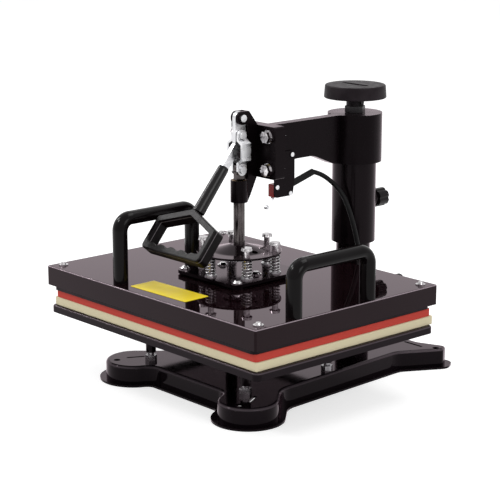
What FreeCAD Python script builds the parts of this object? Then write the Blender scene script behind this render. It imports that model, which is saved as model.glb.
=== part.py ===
import FreeCAD, Part
import math
import os

import Sketcher
from FreeCAD import Placement, Rotation, Vector

# Swing-away heat press, closed: the heated platen rests on the mat of the lower tray.
# Origin on the bench, at the centre of the four bench holes. +X is the operator's right,
# +Y points from the operator to the column, +Z is up. All lengths are in millimetres.

os.makedirs("parts", exist_ok=True)
doc = FreeCAD.newDocument("heat_press")
sheet = doc.addObject("Spreadsheet::Sheet", "sizes")

SIZES = {
    # stance
    "press_axis_y": -66.0, "column_axis_y": 132.0, "platen_axis_y": -68.0, "platen_top_z": 140.0,
    # base pan
    "base_height": 24.5, "base_sheet": 2.5, "base_flange": 8.0, "base_edge_radius": 4.0,
    "base_front_y": -157.0, "base_rear_y": 180.0, "base_side_front_x": 113.0,
    "base_side_front_y": -80.0, "base_side_rear_x": 103.0, "base_side_rear_y": 116.0,
    "lobe_start_angle": 205.0, "lobe_end_angle": 403.0, "side_neck_radius": 32.0, "flare_radius": 20.0,
    "rear_tip_x": 121.0, "rear_tip_y": 196.5, "rear_step_x": 80.0,
    "front_lobe_x": 107.0, "front_lobe_y": -147.0, "front_lobe_radius": 44.0, "lobe_neck_radius": 12.0,
    "rear_lobe_x": 134.5, "rear_lobe_y": 171.7, "rear_lobe_radius": 14.0,
    "bench_hole_x": 116.0, "bench_hole_y": 168.0, "bench_hole_radius": 4.2,
    "rear_slot_length": 31.0, "rear_slot_x": 85.5, "rear_slot_y": 158.6, "front_slot_length": 23.4,
    "front_slot_x": 109.9, "front_slot_y": -143.1, "front_slot_angle": 62.6, "slot_width": 4.0,
    # column
    "post_radius": 22.0, "post_wall": 3.5, "post_top_z": 284.0, "sleeve_gap": 0.3,
    "sleeve_radius": 28.3, "sleeve_foot_z": 153.0, "post_flange_radius": 35.5, "post_flange_thick": 8.0,
    "post_bolt_circle": 29.5, "post_bolt_radius": 3.0, "post_bolt_flats": 10.0, "post_bolt_height": 4.0,
    "post_collar_wall": 1.2, "post_collar_height": 10.0,
    # heated platen
    "cover_width": 390.0, "cover_depth": 294.0, "cover_height": 24.4, "cover_sheet": 1.5,
    "cover_corner": 2.5, "cover_edge": 1.6,
    "plate_margin": 7.5, "plate_width": "=cover_width - 2 * plate_margin",
    "plate_end_margin": 4.5, "plate_depth": "=cover_depth - 2 * plate_end_margin",
    "press_gap": 0.3, "plate_thick": 14.4, "plate_corner": 6.0,
    "element_radius": 4.0, "element_pitch": 56.0, "element_rows": 5,
    "element_margin": 39.5, "element_run": "=plate_depth - 2 * element_margin - element_pitch",
    "probe_radius": 3.0, "probe_inset": 53.5, "probe_x": "=plate_width / 2 - probe_inset",
    "probe_length": 22.0, "blanket_gap": 1.0,
    "cover_screw_inset_x": 13.0, "cover_screw_x": "=cover_width / 2 - cover_screw_inset_x",
    "cover_screw_inset_y": 16.0, "cover_screw_y": "=cover_depth / 2 - cover_screw_inset_y",
    "cover_screw_radius": 4.0, "cover_screw_tip": 2.8,
    "cover_screw_shank": 2.0, "cover_screw_head": 2.6, "cover_washer_radius": 6.0, "cover_washer_thick": 1.2,
    # lower tray with its pad and mat
    "tray_width": 388.0, "tray_depth": 288.0, "tray_top_z": 89.3, "tray_edge": 9.1, "tray_sheet": 2.5,
    "tray_corner": 8.0, "felt_width": 377.8, "felt_depth": 287.8, "felt_thick": 10.7, "felt_corner": 9.0,
    "mat_width": "=plate_width", "mat_trim": 0.2, "mat_depth": "=plate_depth - mat_trim",
    "mat_thick": 9.3, "mat_corner": 6.0,
    "felt_shift": 3.3, "mat_shift": 2.5,
    "stud_x": 89.0, "stud_y": 67.0, "stud_radius": 4.0, "stud_nut_flats": 13.0, "stud_nut_height": 6.5,
    "boss_top_radius": 8.0, "boss_foot_radius": 6.2, "boss_foot_z": 35.0,
    # spring pack between the disc and the platen
    "spring_plate_width": 111.0, "spring_plate_depth": 113.0, "spring_plate_thick": 4.0,
    "spring_plate_corner": 10.0, "spacer_height": 2.0, "spacer_radius": 7.0,
    "plate_bolt_x": 48.5, "plate_bolt_y": 46.0, "plate_bolt_radius": 3.0, "middle_bolt_x": 31.0,
    "plate_bolt_head": 5.4, "plate_bolt_crown": 3.4, "plate_bolt_height": 2.6, "plate_washer_radius": 6.4,
    "plate_washer_thick": 1.2, "plate_bolt_nut": 4.0,
    "disc_radius": 52.0, "disc_thick": 2.5, "disc_top_z": 171.5, "disc_dome": 6.9, "disc_dome_radius": 34.0,
    "disc_crown_radius": 10.5, "disc_core_radius": 20.0, "disc_core_depth": 1.5, "disc_eye_x": 28.5,
    "disc_eye_radius": 4.0,
    "spring_count": 6, "spring_circle": 46.0, "spring_bolt_radius": 3.85, "spring_bolt_head": 6.9,
    "spring_bolt_crown": 5.9, "spring_bolt_height": 3.5, "spring_bolt_top_z": 184.5,
    "spring_coil_radius": 5.4, "spring_wire_radius": 1.1, "spring_turns": 5.5, "spring_seat": 1.5,
    "spring_seat_radius": 7.2, "spring_end_gap": 0.5, "spring_seat_gap": 0.05, "spring_disc_gap": 0.3,
    "slide_gap": 0.35,
    # press rod
    "rod_radius": 7.0, "rod_shoulder_z": 253.0, "rod_stub_radius": 5.2, "rod_nut_height": 10.0,
    "rod_nut_flats": 17.4, "rod_tongue_width": 14.0, "rod_tongue_thick": 5.6, "rod_neck_width": 12.8,
    # toggle head
    "pivot_z": 334.0, "crank_length": 21.0, "lever_head_radius": 8.0, "web_front_gap": 9.5,
    "link_length": 42.0, "pin_radius": 3.5, "pin_gap": 0.1, "strap_thick": 5.6, "ear_gap": 0.25,
    "ear_thick": 3.0, "ear_radius": 8.0, "pin_head_radius": 4.5, "pin_head_height": 3.2,
    "pin_washer_height": 2.2, "pin_side_gap": 0.3, "link_thick": 3.0, "link_half_width": 7.0,
    "link_bulge": 7.5, "link_bend_start": 9.0, "link_bend_run": 4.7, "link_top_start": 6.0,
    "head_flange_y": -43.0, "flange_thick": 8.0, "flange_half_width": 40.0, "flange_foot_z": 260.0,
    "flange_top_z": 324.0, "flange_corner": 4.0, "flange_bolt_x": 27.1, "flange_bolt_low_z": 270.8,
    "flange_bolt_high_z": 311.5, "flange_bolt_radius": 4.0, "flange_bolt_flats": 13.0,
    "flange_bolt_height": 5.3, "flange_washer_radius": 8.5, "flange_washer_thick": 1.6,
    "guide_radius": 10.5, "guide_foot_z": 231.0, "guide_top_z": 258.0, "bush_wall": 1.6,
    "web_bend_reach": 4.1, "web_bend_rise": 8.3, "web_bend_radius": 30.0,
    # arm
    "arm_half_thick": 7.0, "arm_top_z": 320.5, "hub_radius": 35.0, "hub_foot_z": 258.0,
    "arch_top_z": 274.2, "arch_front_y": 21.0, "arch_rear_y": 52.0, "arch_foot_y": 88.0, "arch_foot_z": 259.3,
    # pressure screw
    "spindle_radius": 8.0, "spindle_gap": 0.1, "spindle_foot_z": 234.0,
    "carriage_length": 26.0, "carriage_flange": 7.0, "screw_nut_z": 240.0, "screw_nut_height": 16.0,
    "collar_radius": 13.5, "collar_height": 8.0, "knob_stem_radius": 11.2, "knob_foot_z": 339.4,
    "knob_height": 16.6, "knob_radius": 40.0, "knob_top_radius": 38.7, "knob_edge": 2.0,
    "knob_mark_length": 44.0, "knob_mark_width": 8.0, "knob_mark_depth": 1.6,
    "set_screw_radius": 2.5, "set_screw_proud": 2.4,
    # column lock
    "lock_z": 203.0, "lock_screw_radius": 4.0, "lock_boss_radius": 9.0, "lock_boss_length": 8.0,
    "lock_knob_radius": 12.0, "lock_knob_length": 16.0, "lock_lobes": 6, "lock_flute_radius": 3.6,
    "lock_flute_gap": 2.2, "lock_gap": 2.0,
    # lever
    "lever_angle": 39.7, "lever_line_y": -89.8, "lever_line_z": 276.5, "lever_bar_width": 11.0,
    "sleeve_length": 64.0, "sleeve_top_radius": 6.75, "sleeve_low_radius": 7.75,
    "sleeve_waist_radius": 40.0,
    "grip_half_width": 53.0, "grip_shoulder": 19.5, "grip_height": 63.5, "grip_top_wall": 8.0,
    "grip_side_wall": 6.3, "grip_low_wall": 9.4, "grip_thick": 17.4, "grip_edge_radius": 1.6,
    "finger_radius": 9.0, "finger_depth": 3.0, "finger_pitch": 19.0, "bar_seat_depth": 10.0,
    # side handles, with an oval section
    "handle_half_width": 10.5, "handle_radius": 8.3, "handle_bend": 15.0,
    "right_handle_inset": 11.5, "right_handle_x": "=cover_width / 2 - right_handle_inset",
    "right_handle_y": -88.5, "right_handle_span": 117.0, "right_handle_top": 66.4,
    "left_handle_inset": 6.0, "left_handle_y": "=left_handle_inset - cover_depth / 2",
    "left_handle_x": -67.0, "left_handle_span": 112.0, "left_handle_top": 85.6,
    "handle_screw_radius": 3.0, "handle_screw_depth": 7.0, "handle_screw_head": 5.5, "handle_screw_cap": 3.0,
    # switch
    "bracket_front_y": -15.4, "bracket_rear_y": 18.0, "bracket_foot_z": 229.5, "bracket_top_z": 286.0,
    "bracket_thick": 2.0, "bracket_corner": 4.0, "switch_front_y": -14.8, "switch_length": 27.8,
    "switch_thick": 10.3, "switch_height": 15.9, "switch_foot_z": 229.8, "switch_hole_inset": 2.8,
    "switch_hole_drop": 10.3, "switch_hole_run": 22.2, "switch_screw_radius": 1.4, "switch_screw_head": 1.6,
    "switch_lever_length": 15.1, "switch_lever_angle": 46.0, "roller_radius": 2.6, "roller_width": 4.0,
    "strip_thick": 0.8, "strip_eye_radius": 0.5, "fork_wall": 0.9, "fork_gap": 0.2,
    "axle_radius": 0.8, "axle_gap": 0.06, "anchor_inset": 5.0,
    "lead_radius": 3.0, "lead_sleeve_radius": 4.2, "lead_tuck": 3.0, "plug_radius": 7.0, "plug_length": 30.0,
    "lead_stub": 5.0, "lead_rise_y": 38.0, "lead_rise_z": 11.0,
    # inlet
    "gland_radius": 9.0, "gland_neck_radius": 5.4, "gland_bore_radius": 3.6, "gland_length": 14.0,
    "gland_inset": 75.0, "gland_x": "=cover_width / 2 - gland_inset", "gland_drop": 12.2,
}

for row, (alias, value) in enumerate(SIZES.items(), 1):
    sheet.set(f"A{row}", alias)
    sheet.set(f"B{row}", str(value))
    sheet.setAlias(f"B{row}", alias)
doc.recompute()


class Sizes:
    """The sheet's cells, read by their aliases."""

    def __getattr__(self, alias):
        return float(sheet.get(alias))


size = Sizes()
pieces = {}


def keep(label, thing):
    """Registers a finished sub-part under the name of its file."""
    thing.Label = label
    pieces[label] = thing
    return thing


def link(thing, **cells):
    """Binds properties of an object to expressions on the sheet's cells."""
    for prop, expression in cells.items():
        thing.setExpression(prop.replace("__", "."), expression)


def at(thing, x="0", y="0", z="0"):
    """Binds an object's position to expressions on the sheet's cells."""
    thing.setExpression("Placement.Base.x", x)
    thing.setExpression("Placement.Base.y", y)
    thing.setExpression("Placement.Base.z", z)
    return thing


def turned(thing, axis, angle):
    """Turns an object about one of the main axes through its own base point."""
    thing.Placement = Placement(thing.Placement.Base, Rotation(axis, angle))
    return thing


X_AXIS, Y_AXIS, Z_AXIS = Vector(1, 0, 0), Vector(0, 1, 0), Vector(0, 0, 1)
TO_Y = (X_AXIS, -90)
TO_X = (Y_AXIS, 90)


def block(name, length, width, height, x="0", y="0", z="0"):
    """A box whose base is centred on x, y and whose foot is at z."""
    thing = doc.addObject("Part::Box", name)
    link(thing, Length=length, Width=width, Height=height)
    return at(thing, f"({x}) - ({length}) / 2", f"({y}) - ({width}) / 2", z)


def rod(name, radius, height, x="0", y="0", z="0", way=None):
    """A cylinder that rises from x, y, z, or runs along +X or +Y."""
    thing = doc.addObject("Part::Cylinder", name)
    link(thing, Radius=radius, Height=height)
    if way:
        turned(thing, *way)
    return at(thing, x, y, z)


def cone(name, low, high, height, x="0", y="0", z="0", way=None):
    """A cone frustum that rises from x, y, z, or runs along +X or +Y."""
    thing = doc.addObject("Part::Cone", name)
    link(thing, Radius1=low, Radius2=high, Height=height)
    if way:
        turned(thing, *way)
    return at(thing, x, y, z)


def hexagon(name, flats, height, x="0", y="0", z="0", way=None):
    """A hexagon prism of a given width across flats."""
    thing = doc.addObject("Part::Prism", name)
    thing.Polygon = 6
    link(thing, Circumradius=f"({flats}) / 2 / cos(30 deg)", Height=height)
    if way:
        turned(thing, *way)
    return at(thing, x, y, z)


def fused(name, *things):
    """One solid from several."""
    thing = doc.addObject("Part::MultiFuse", name)
    thing.Shapes = list(things)
    thing.Refine = True
    return thing


def cut(name, base, *tools):
    """A solid less one or more tools."""
    tool = tools[0]
    if len(tools) > 1:
        tool = doc.addObject("Part::MultiFuse", name + "_tools")
        tool.Shapes = list(tools)
    thing = doc.addObject("Part::Cut", name)
    thing.Base, thing.Tool = base, tool
    return thing


def group(name, *things):
    """Like fasteners that stay separate solids under one name."""
    thing = doc.addObject("Part::Compound", name)
    thing.Links = list(things)
    return thing


def rounded(name, base, radius, keep_edge):
    """Rounds the edges of a solid that a test picks out."""
    doc.recompute()
    thing = doc.addObject("Part::Fillet", name)
    thing.Base = base
    chosen = [n for n, edge in enumerate(base.Shape.Edges, 1) if keep_edge(edge)]
    thing.Edges = [(n, radius, radius) for n in chosen]
    return thing


def upright(edge):
    """True for a straight edge that runs along Z."""
    ends = [vertex.Point for vertex in edge.Vertexes]
    return len(ends) == 2 and (ends[0] - ends[1]).cross(Z_AXIS).Length < 1e-6


def level(z):
    """A test for edges that lie whole in the plane of a height."""
    return lambda edge: abs(edge.BoundBox.ZMin - z) < 1e-4 and abs(edge.BoundBox.ZMax - z) < 1e-4


def outline(sketch, corners):
    """Draws a closed polygon with rounded corners, each given as x, y, radius."""
    count = len(corners)
    ends = []
    for n in range(count):
        before, here, after = (Vector(*corners[k % count][:2], 0) for k in (n - 1, n, n + 1))
        radius = corners[n][2]
        to_before, to_after = (before - here).normalize(), (after - here).normalize()
        half = to_before.getAngle(to_after) / 2
        reach = radius / math.tan(half) if radius else 0.0
        start, stop = here + to_before * reach, here + to_after * reach
        middle = here
        if radius:
            bisector = (to_before + to_after).normalize()
            middle = here + bisector * (radius / math.sin(half) - radius)
        ends.append((start, middle, stop, radius))
    for n in range(count):
        start, middle, stop, radius = ends[n]
        if radius:
            sketch.addGeometry(Part.Arc(start, middle, stop), False)
        following = ends[(n + 1) % count][0]
        if (following - stop).Length > 1e-7:
            sketch.addGeometry(Part.LineSegment(stop, following), False)
    return sketch


PLANES = {"XY": "XY_Plane", "XZ": "XZ_Plane", "YZ": "YZ_Plane"}


def new_body(label):
    """A part-design body under its own name."""
    body = doc.addObject("PartDesign::Body", label)
    return keep(label, body)


def new_sketch(body, name, plane, offset="0"):
    """A sketch on one of the body's own origin planes, moved along the plane's normal."""
    sketch = body.newObject("Sketcher::SketchObject", name)
    plane_object = next(f for f in body.Origin.OriginFeatures if f.Role == PLANES[plane])
    sketch.AttachmentSupport = (plane_object, [""])
    sketch.MapMode = "FlatFace"
    sketch.setExpression("AttachmentOffset.Base.z", offset)
    return sketch


def round_hole(sketch, x, y, radius):
    """A circle whose centre and radius follow expressions."""
    index = sketch.addGeometry(Part.Circle(Vector(1, 1, 0), Z_AXIS, 1), False)
    for kind, target, expression in (("DistanceX", 3, x), ("DistanceY", 3, y)):
        number = sketch.addConstraint(Sketcher.Constraint(kind, index, target, 1.0))
        sketch.setExpression(f"Constraints[{number}]", expression)
    number = sketch.addConstraint(Sketcher.Constraint("Radius", index, 1.0))
    sketch.setExpression(f"Constraints[{number}]", radius)
    return index


def pad(body, sketch, name, length, both_ways=False, backwards=False):
    """Adds a sketch's area over a length."""
    feature = body.newObject("PartDesign::Pad", name)
    feature.Profile = sketch
    feature.setExpression("Length", length)
    feature.Midplane = both_ways
    feature.Reversed = backwards
    return feature


def pocket(body, sketch, name, length, backwards=False, both_ways=False):
    """Takes a sketch's area away over a length."""
    feature = body.newObject("PartDesign::Pocket", name)
    feature.Profile = sketch
    feature.setExpression("Length", length)
    feature.Reversed = backwards
    feature.Midplane = both_ways
    return feature


def turning(body, sketch, name, groove=False):
    """Revolves a sketch on the XZ plane about the body's own Z axis."""
    feature = body.newObject("PartDesign::Groove" if groove else "PartDesign::Revolution", name)
    feature.Profile = sketch
    feature.ReferenceAxis = (sketch, ["V_Axis"])
    feature.Angle = 360
    return feature


def fillet_edges(body, feature, name, radius, keep_edge):
    """Rounds the picked edges of a body's last feature."""
    doc.recompute()
    chosen = [f"Edge{n}" for n, edge in enumerate(feature.Shape.Edges, 1) if keep_edge(edge)]
    result = body.newObject("PartDesign::Fillet", name)
    result.Base = (feature, chosen)
    result.setExpression("Radius", radius)
    return result


def raw(label, shape):
    """A sub-part whose form neither features nor primitives fit."""
    thing = doc.addObject("Part::Feature", label)
    thing.Shape = shape
    return keep(label, thing)


# Shared places, worked out from the sheet
platen_top = size.platen_top_z
lever_turn = math.radians(size.lever_angle)
spring_foot_z = platen_top + size.spacer_height + size.spring_plate_thick + size.spring_seat


def lobe(x, y, radius, start, stop, steps):
    """Corners round part of a circle, whose roundings meet end to end along it."""
    step = math.radians(stop - start) / steps
    reach = radius / math.cos(step / 2)
    turns = [math.radians(start) + (k + 0.5) * step for k in range(steps)]
    return [(x + reach * math.cos(a), y + reach * math.sin(a), radius) for a in turns]


def tangent(x, y, radius, angle):
    """A point on a circle and the direction in which the circle runs there."""
    a = math.radians(angle)
    return (Vector(x + radius * math.cos(a), y + radius * math.sin(a), 0),
            Vector(-math.sin(a), math.cos(a), 0))


def crossing(point, way, other, other_way):
    """Where two lines in the ground plane meet."""
    gap = other - point
    share = (gap.x * other_way.y - gap.y * other_way.x) / (way.x * other_way.y - way.y * other_way.x)
    return point + way * share


def inset(corners, wall):
    """A counterclockwise outline moved inwards by a wall, with its roundings made less by it."""
    count, moved = len(corners), []
    for n in range(count):
        before, here, after = (Vector(*corners[k % count][:2], 0) for k in (n - 1, n, n + 1))
        first, second = (here - before).normalize(), (after - here).normalize()
        left, right = Vector(-first.y, first.x, 0) * wall, Vector(-second.y, second.x, 0) * wall
        spot = crossing(here + left, first, here + right, second)
        moved.append((spot.x, spot.y, max(corners[n][2] - wall, 0.0)))
    return moved


def rectangle(width, depth, corner):
    """A counterclockwise rectangle about the origin."""
    w, d = width / 2, depth / 2
    return [(-w, -d, corner), (w, -d, corner), (w, d, corner), (-w, d, corner)]


def extruded(name, source, height):
    """A solid that rises from a closed outline."""
    solid = doc.addObject("Part::Extrusion", name)
    solid.Base = source
    solid.DirMode = "Custom"
    solid.Dir = Z_AXIS
    solid.Solid = True
    solid.setExpression("LengthFwd", height)
    return solid


def slot_tool(name, length, x, y, angle):
    """A cutter with rounded ends."""
    half, wide = length / 2, size.slot_width / 2
    sketch = doc.addObject("Sketcher::SketchObject", name + "_outline")
    outline(sketch, [(-half, -wide, wide * 0.98), (half, -wide, wide * 0.98), (half, wide, wide * 0.98),
                     (-half, wide, wide * 0.98)])
    turned(sketch, Z_AXIS, angle)
    at(sketch, x, y, "-1")
    return extruded(name, sketch, "sizes.base_height + 2")


def build_base():
    """The pressed pan: four lobes with bench holes, an out-turned flange and slots."""
    cx, cy, r, neck = size.front_lobe_x, size.front_lobe_y, size.front_lobe_radius, size.lobe_neck_radius
    side = Vector(size.base_side_front_x, size.base_side_front_y, 0)
    waist = Vector(size.base_side_rear_x, size.base_side_rear_y, 0)
    front_neck = crossing(*tangent(cx, cy, r, size.lobe_start_angle), Vector(0, size.base_front_y, 0), X_AXIS)
    side_neck = crossing(*tangent(cx, cy, r, size.lobe_end_angle), side, waist - side)
    half = [(front_neck.x, front_neck.y, neck)]
    half += lobe(cx, cy, r, size.lobe_start_angle, size.lobe_end_angle, 4)
    half += [
        (side_neck.x, side_neck.y, size.side_neck_radius), (waist.x, waist.y, size.flare_radius),
        (size.rear_lobe_x, size.rear_lobe_y, size.rear_lobe_radius),
        (size.rear_tip_x, size.rear_tip_y, size.rear_lobe_radius),
        (size.rear_step_x, size.base_rear_y, size.rear_lobe_radius),
    ]
    corners = half + [(-x, y, radius) for x, y, radius in reversed(half)]
    edge = outline(doc.addObject("Sketcher::SketchObject", "base_edge"), corners)
    solids = {"pan_flange": extruded("pan_flange", edge, "sizes.base_sheet")}
    for name, inwards, height in (
        ("pan_block", "sizes.base_flange", "sizes.base_height"),
        ("pan_void", "sizes.base_flange + sizes.base_sheet", "sizes.base_height - sizes.base_sheet"),
    ):
        moved = doc.addObject("Part::Offset2D", name + "_outline")
        moved.Source = edge
        moved.setExpression("Value", f"-({inwards})")
        solids[name] = extruded(name, moved, height)
    top = rounded("pan_top", solids["pan_block"], size.base_edge_radius, level(size.base_height))
    shell = fused("pan_shell", top, solids["pan_flange"])
    through = "sizes.base_height + 2"
    holes = [solids["pan_void"]]
    for sx in (-1, 1):
        for sy in (-1, 1):
            holes.append(rod("bench_hole", "sizes.bench_hole_radius", through,
                             f"{sx} * sizes.bench_hole_x", f"{sy} * sizes.bench_hole_y", "-1"))
            holes.append(rod("stud_hole", "sizes.stud_radius", through, f"{sx} * sizes.stud_x",
                             f"sizes.platen_axis_y + {sy} * sizes.stud_y", "-1"))
        holes.append(slot_tool("rear_slot", size.rear_slot_length, f"{sx} * sizes.rear_slot_x",
                               "sizes.rear_slot_y", 0))
        holes.append(slot_tool("front_slot", size.front_slot_length, f"{sx} * sizes.front_slot_x",
                               "sizes.front_slot_y", -sx * size.front_slot_angle))
    for x, y in post_bolt_places():
        holes.append(rod("post_bolt_hole", "sizes.post_bolt_radius", through, x, y, "-1"))
    keep("base_frame", cut("base_frame", shell, *holes))


def post_bolt_places():
    """The places of the foot flange's bolts, as expressions."""
    for n in range(4):
        angle = math.radians(45 + 90 * n)
        yield (f"sizes.post_bolt_circle * {math.cos(angle):.6f}",
               f"sizes.column_axis_y + sizes.post_bolt_circle * {math.sin(angle):.6f}")


def build_column():
    """The fixed post with its foot flange, bolts and the nut that the pressure screw turns in."""
    y = "sizes.column_axis_y"
    flange_top = "sizes.base_height + sizes.post_flange_thick"
    under = "sizes.base_height - sizes.base_sheet - sizes.post_bolt_height"
    body = new_body("column_post")
    at(body, "0", y, "sizes.base_height")
    sketch = new_sketch(body, "post_section", "XY")
    round_hole(sketch, "0", "0", "sizes.post_radius")
    round_hole(sketch, "0", "0", "sizes.post_radius - sizes.post_wall")
    pad(body, sketch, "post_length", "sizes.post_top_z - sizes.base_height")

    collar_height = "sizes.post_flange_thick + sizes.post_collar_height"
    collar = rod("foot_collar", "sizes.post_radius + sizes.post_collar_wall", collar_height, "0", y,
                 "sizes.base_height")
    disc = rod("foot_disc", "sizes.post_flange_radius", "sizes.post_flange_thick", "0", y,
               "sizes.base_height")
    holes = [rod("foot_bore", "sizes.post_radius", f"{collar_height} + 2", "0", y, "sizes.base_height - 1")]
    bolts, nuts = [], []
    for x, by in post_bolt_places():
        holes.append(rod("foot_hole", "sizes.post_bolt_radius", "sizes.post_flange_thick + 2", x, by,
                         "sizes.base_height - 1"))
        head = hexagon("post_head", "sizes.post_bolt_flats", "sizes.post_bolt_height", x, by, flange_top)
        shank = rod("post_shank", "sizes.post_bolt_radius",
                    "sizes.base_sheet + sizes.post_flange_thick + 2 * sizes.post_bolt_height", x, by, under)
        bolts.append(fused("post_bolt", head, shank))
        nut = hexagon("post_nut_blank", "sizes.post_bolt_flats", "sizes.post_bolt_height", x, by, under)
        nut_bore = rod("post_nut_bore", "sizes.post_bolt_radius", "sizes.post_bolt_height + 2", x, by,
                       f"{under} - 1")
        nuts.append(cut("post_nut", nut, nut_bore))
    keep("post_flange", cut("post_flange", fused("foot_blank", collar, disc), *holes))
    keep("post_bolts", group("post_bolts", *bolts))
    keep("post_nuts", group("post_nuts", *nuts))

    nut = rod("screw_nut_blank", "sizes.post_radius - sizes.post_wall", "sizes.screw_nut_height", "0", y,
              "sizes.screw_nut_z")
    bore = rod("screw_nut_bore", "sizes.spindle_radius + sizes.spindle_gap",
               "sizes.screw_nut_height + 2", "0", y,
               "sizes.screw_nut_z - 1")
    keep("screw_nut", cut("screw_nut", nut, bore))


def plate_body(label, corners, thick, y, z):
    """A flat plate of a given outline, centred on the platen's axis."""
    body = new_body(label)
    at(body, "0", y, z)
    sketch = outline(new_sketch(body, label + "_outline", "XY"), corners)
    return body, pad(body, sketch, label + "_pad", thick)


def build_tray():
    """The lower tray on four legs, with the felt pad and the silicone mat."""
    edge = rectangle(size.tray_width, size.tray_depth, size.tray_corner)
    body, slab = plate_body("tray", edge, "sizes.tray_edge", "sizes.platen_axis_y",
                            "sizes.tray_top_z - sizes.tray_edge")
    fillet_edges(body, slab, "tray_round", "sizes.tray_sheet", level(size.tray_edge))
    hollow = outline(new_sketch(body, "tray_hollow", "XY"), inset(edge, size.tray_sheet))
    pocket(body, hollow, "tray_inside", "sizes.tray_edge - sizes.tray_sheet", backwards=True)
    plate_body("felt_pad", rectangle(size.felt_width, size.felt_depth, size.felt_corner), "sizes.felt_thick",
               "sizes.platen_axis_y + sizes.felt_shift", "sizes.tray_top_z")
    plate_body("silicone_mat", rectangle(size.mat_width, size.mat_depth, size.mat_corner), "sizes.mat_thick",
               "sizes.platen_axis_y + sizes.mat_shift", "sizes.tray_top_z + sizes.felt_thick")

    sheet_z = "sizes.tray_top_z - sizes.tray_sheet"
    under = "sizes.base_height - sizes.base_sheet - sizes.stud_nut_height"
    bosses, studs, nuts = [], [], []
    for sx in (-1, 1):
        for sy in (-1, 1):
            x, y = f"{sx} * sizes.stud_x", f"sizes.platen_axis_y + {sy} * sizes.stud_y"
            shell = cone("boss_blank", "sizes.boss_foot_radius", "sizes.boss_top_radius",
                         f"{sheet_z} - sizes.boss_foot_z", x, y, "sizes.boss_foot_z")
            bore = rod("boss_bore", "sizes.stud_radius", f"{sheet_z} - sizes.boss_foot_z + 2", x, y,
                       "sizes.boss_foot_z - 1")
            bosses.append(cut("boss", shell, bore))
            studs.append(rod("stud", "sizes.stud_radius", f"{sheet_z} - ({under})", x, y, under))
            for z in ("sizes.base_height", under):
                blank = hexagon("stud_nut_blank", "sizes.stud_nut_flats", "sizes.stud_nut_height", x, y, z)
                hole = rod("stud_nut_hole", "sizes.stud_radius", "sizes.stud_nut_height + 2", x, y,
                           f"({z}) - 1")
                nuts.append(cut("stud_nut", blank, hole))
    keep("tray_bosses", group("tray_bosses", *bosses))
    keep("tray_studs", group("tray_studs", *studs))
    keep("tray_nuts", group("tray_nuts", *nuts))


def cover_screw_places():
    """The cover's four screws about the platen's axis."""
    for sx in (-1, 1):
        for sy in (-1, 1):
            yield f"{sx} * sizes.cover_screw_x", f"{sy} * sizes.cover_screw_y"


def plate_bolt_places():
    """The spring plate's four corner bolts and its middle pair, about the press axis."""
    for sx in (-1, 1):
        for sy in (-1, 1):
            yield f"{sx} * sizes.plate_bolt_x", f"{sy} * sizes.plate_bolt_y"
        yield f"{sx} * sizes.middle_bolt_x", "0"


def handle_feet():
    """The feet of both side handles."""
    for name in ("right", "left"):
        for sy in (-1, 1):
            yield (f"sizes.{name}_handle_x",
                   f"sizes.{name}_handle_y + {sy} * sizes.{name}_handle_span / 2")


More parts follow.
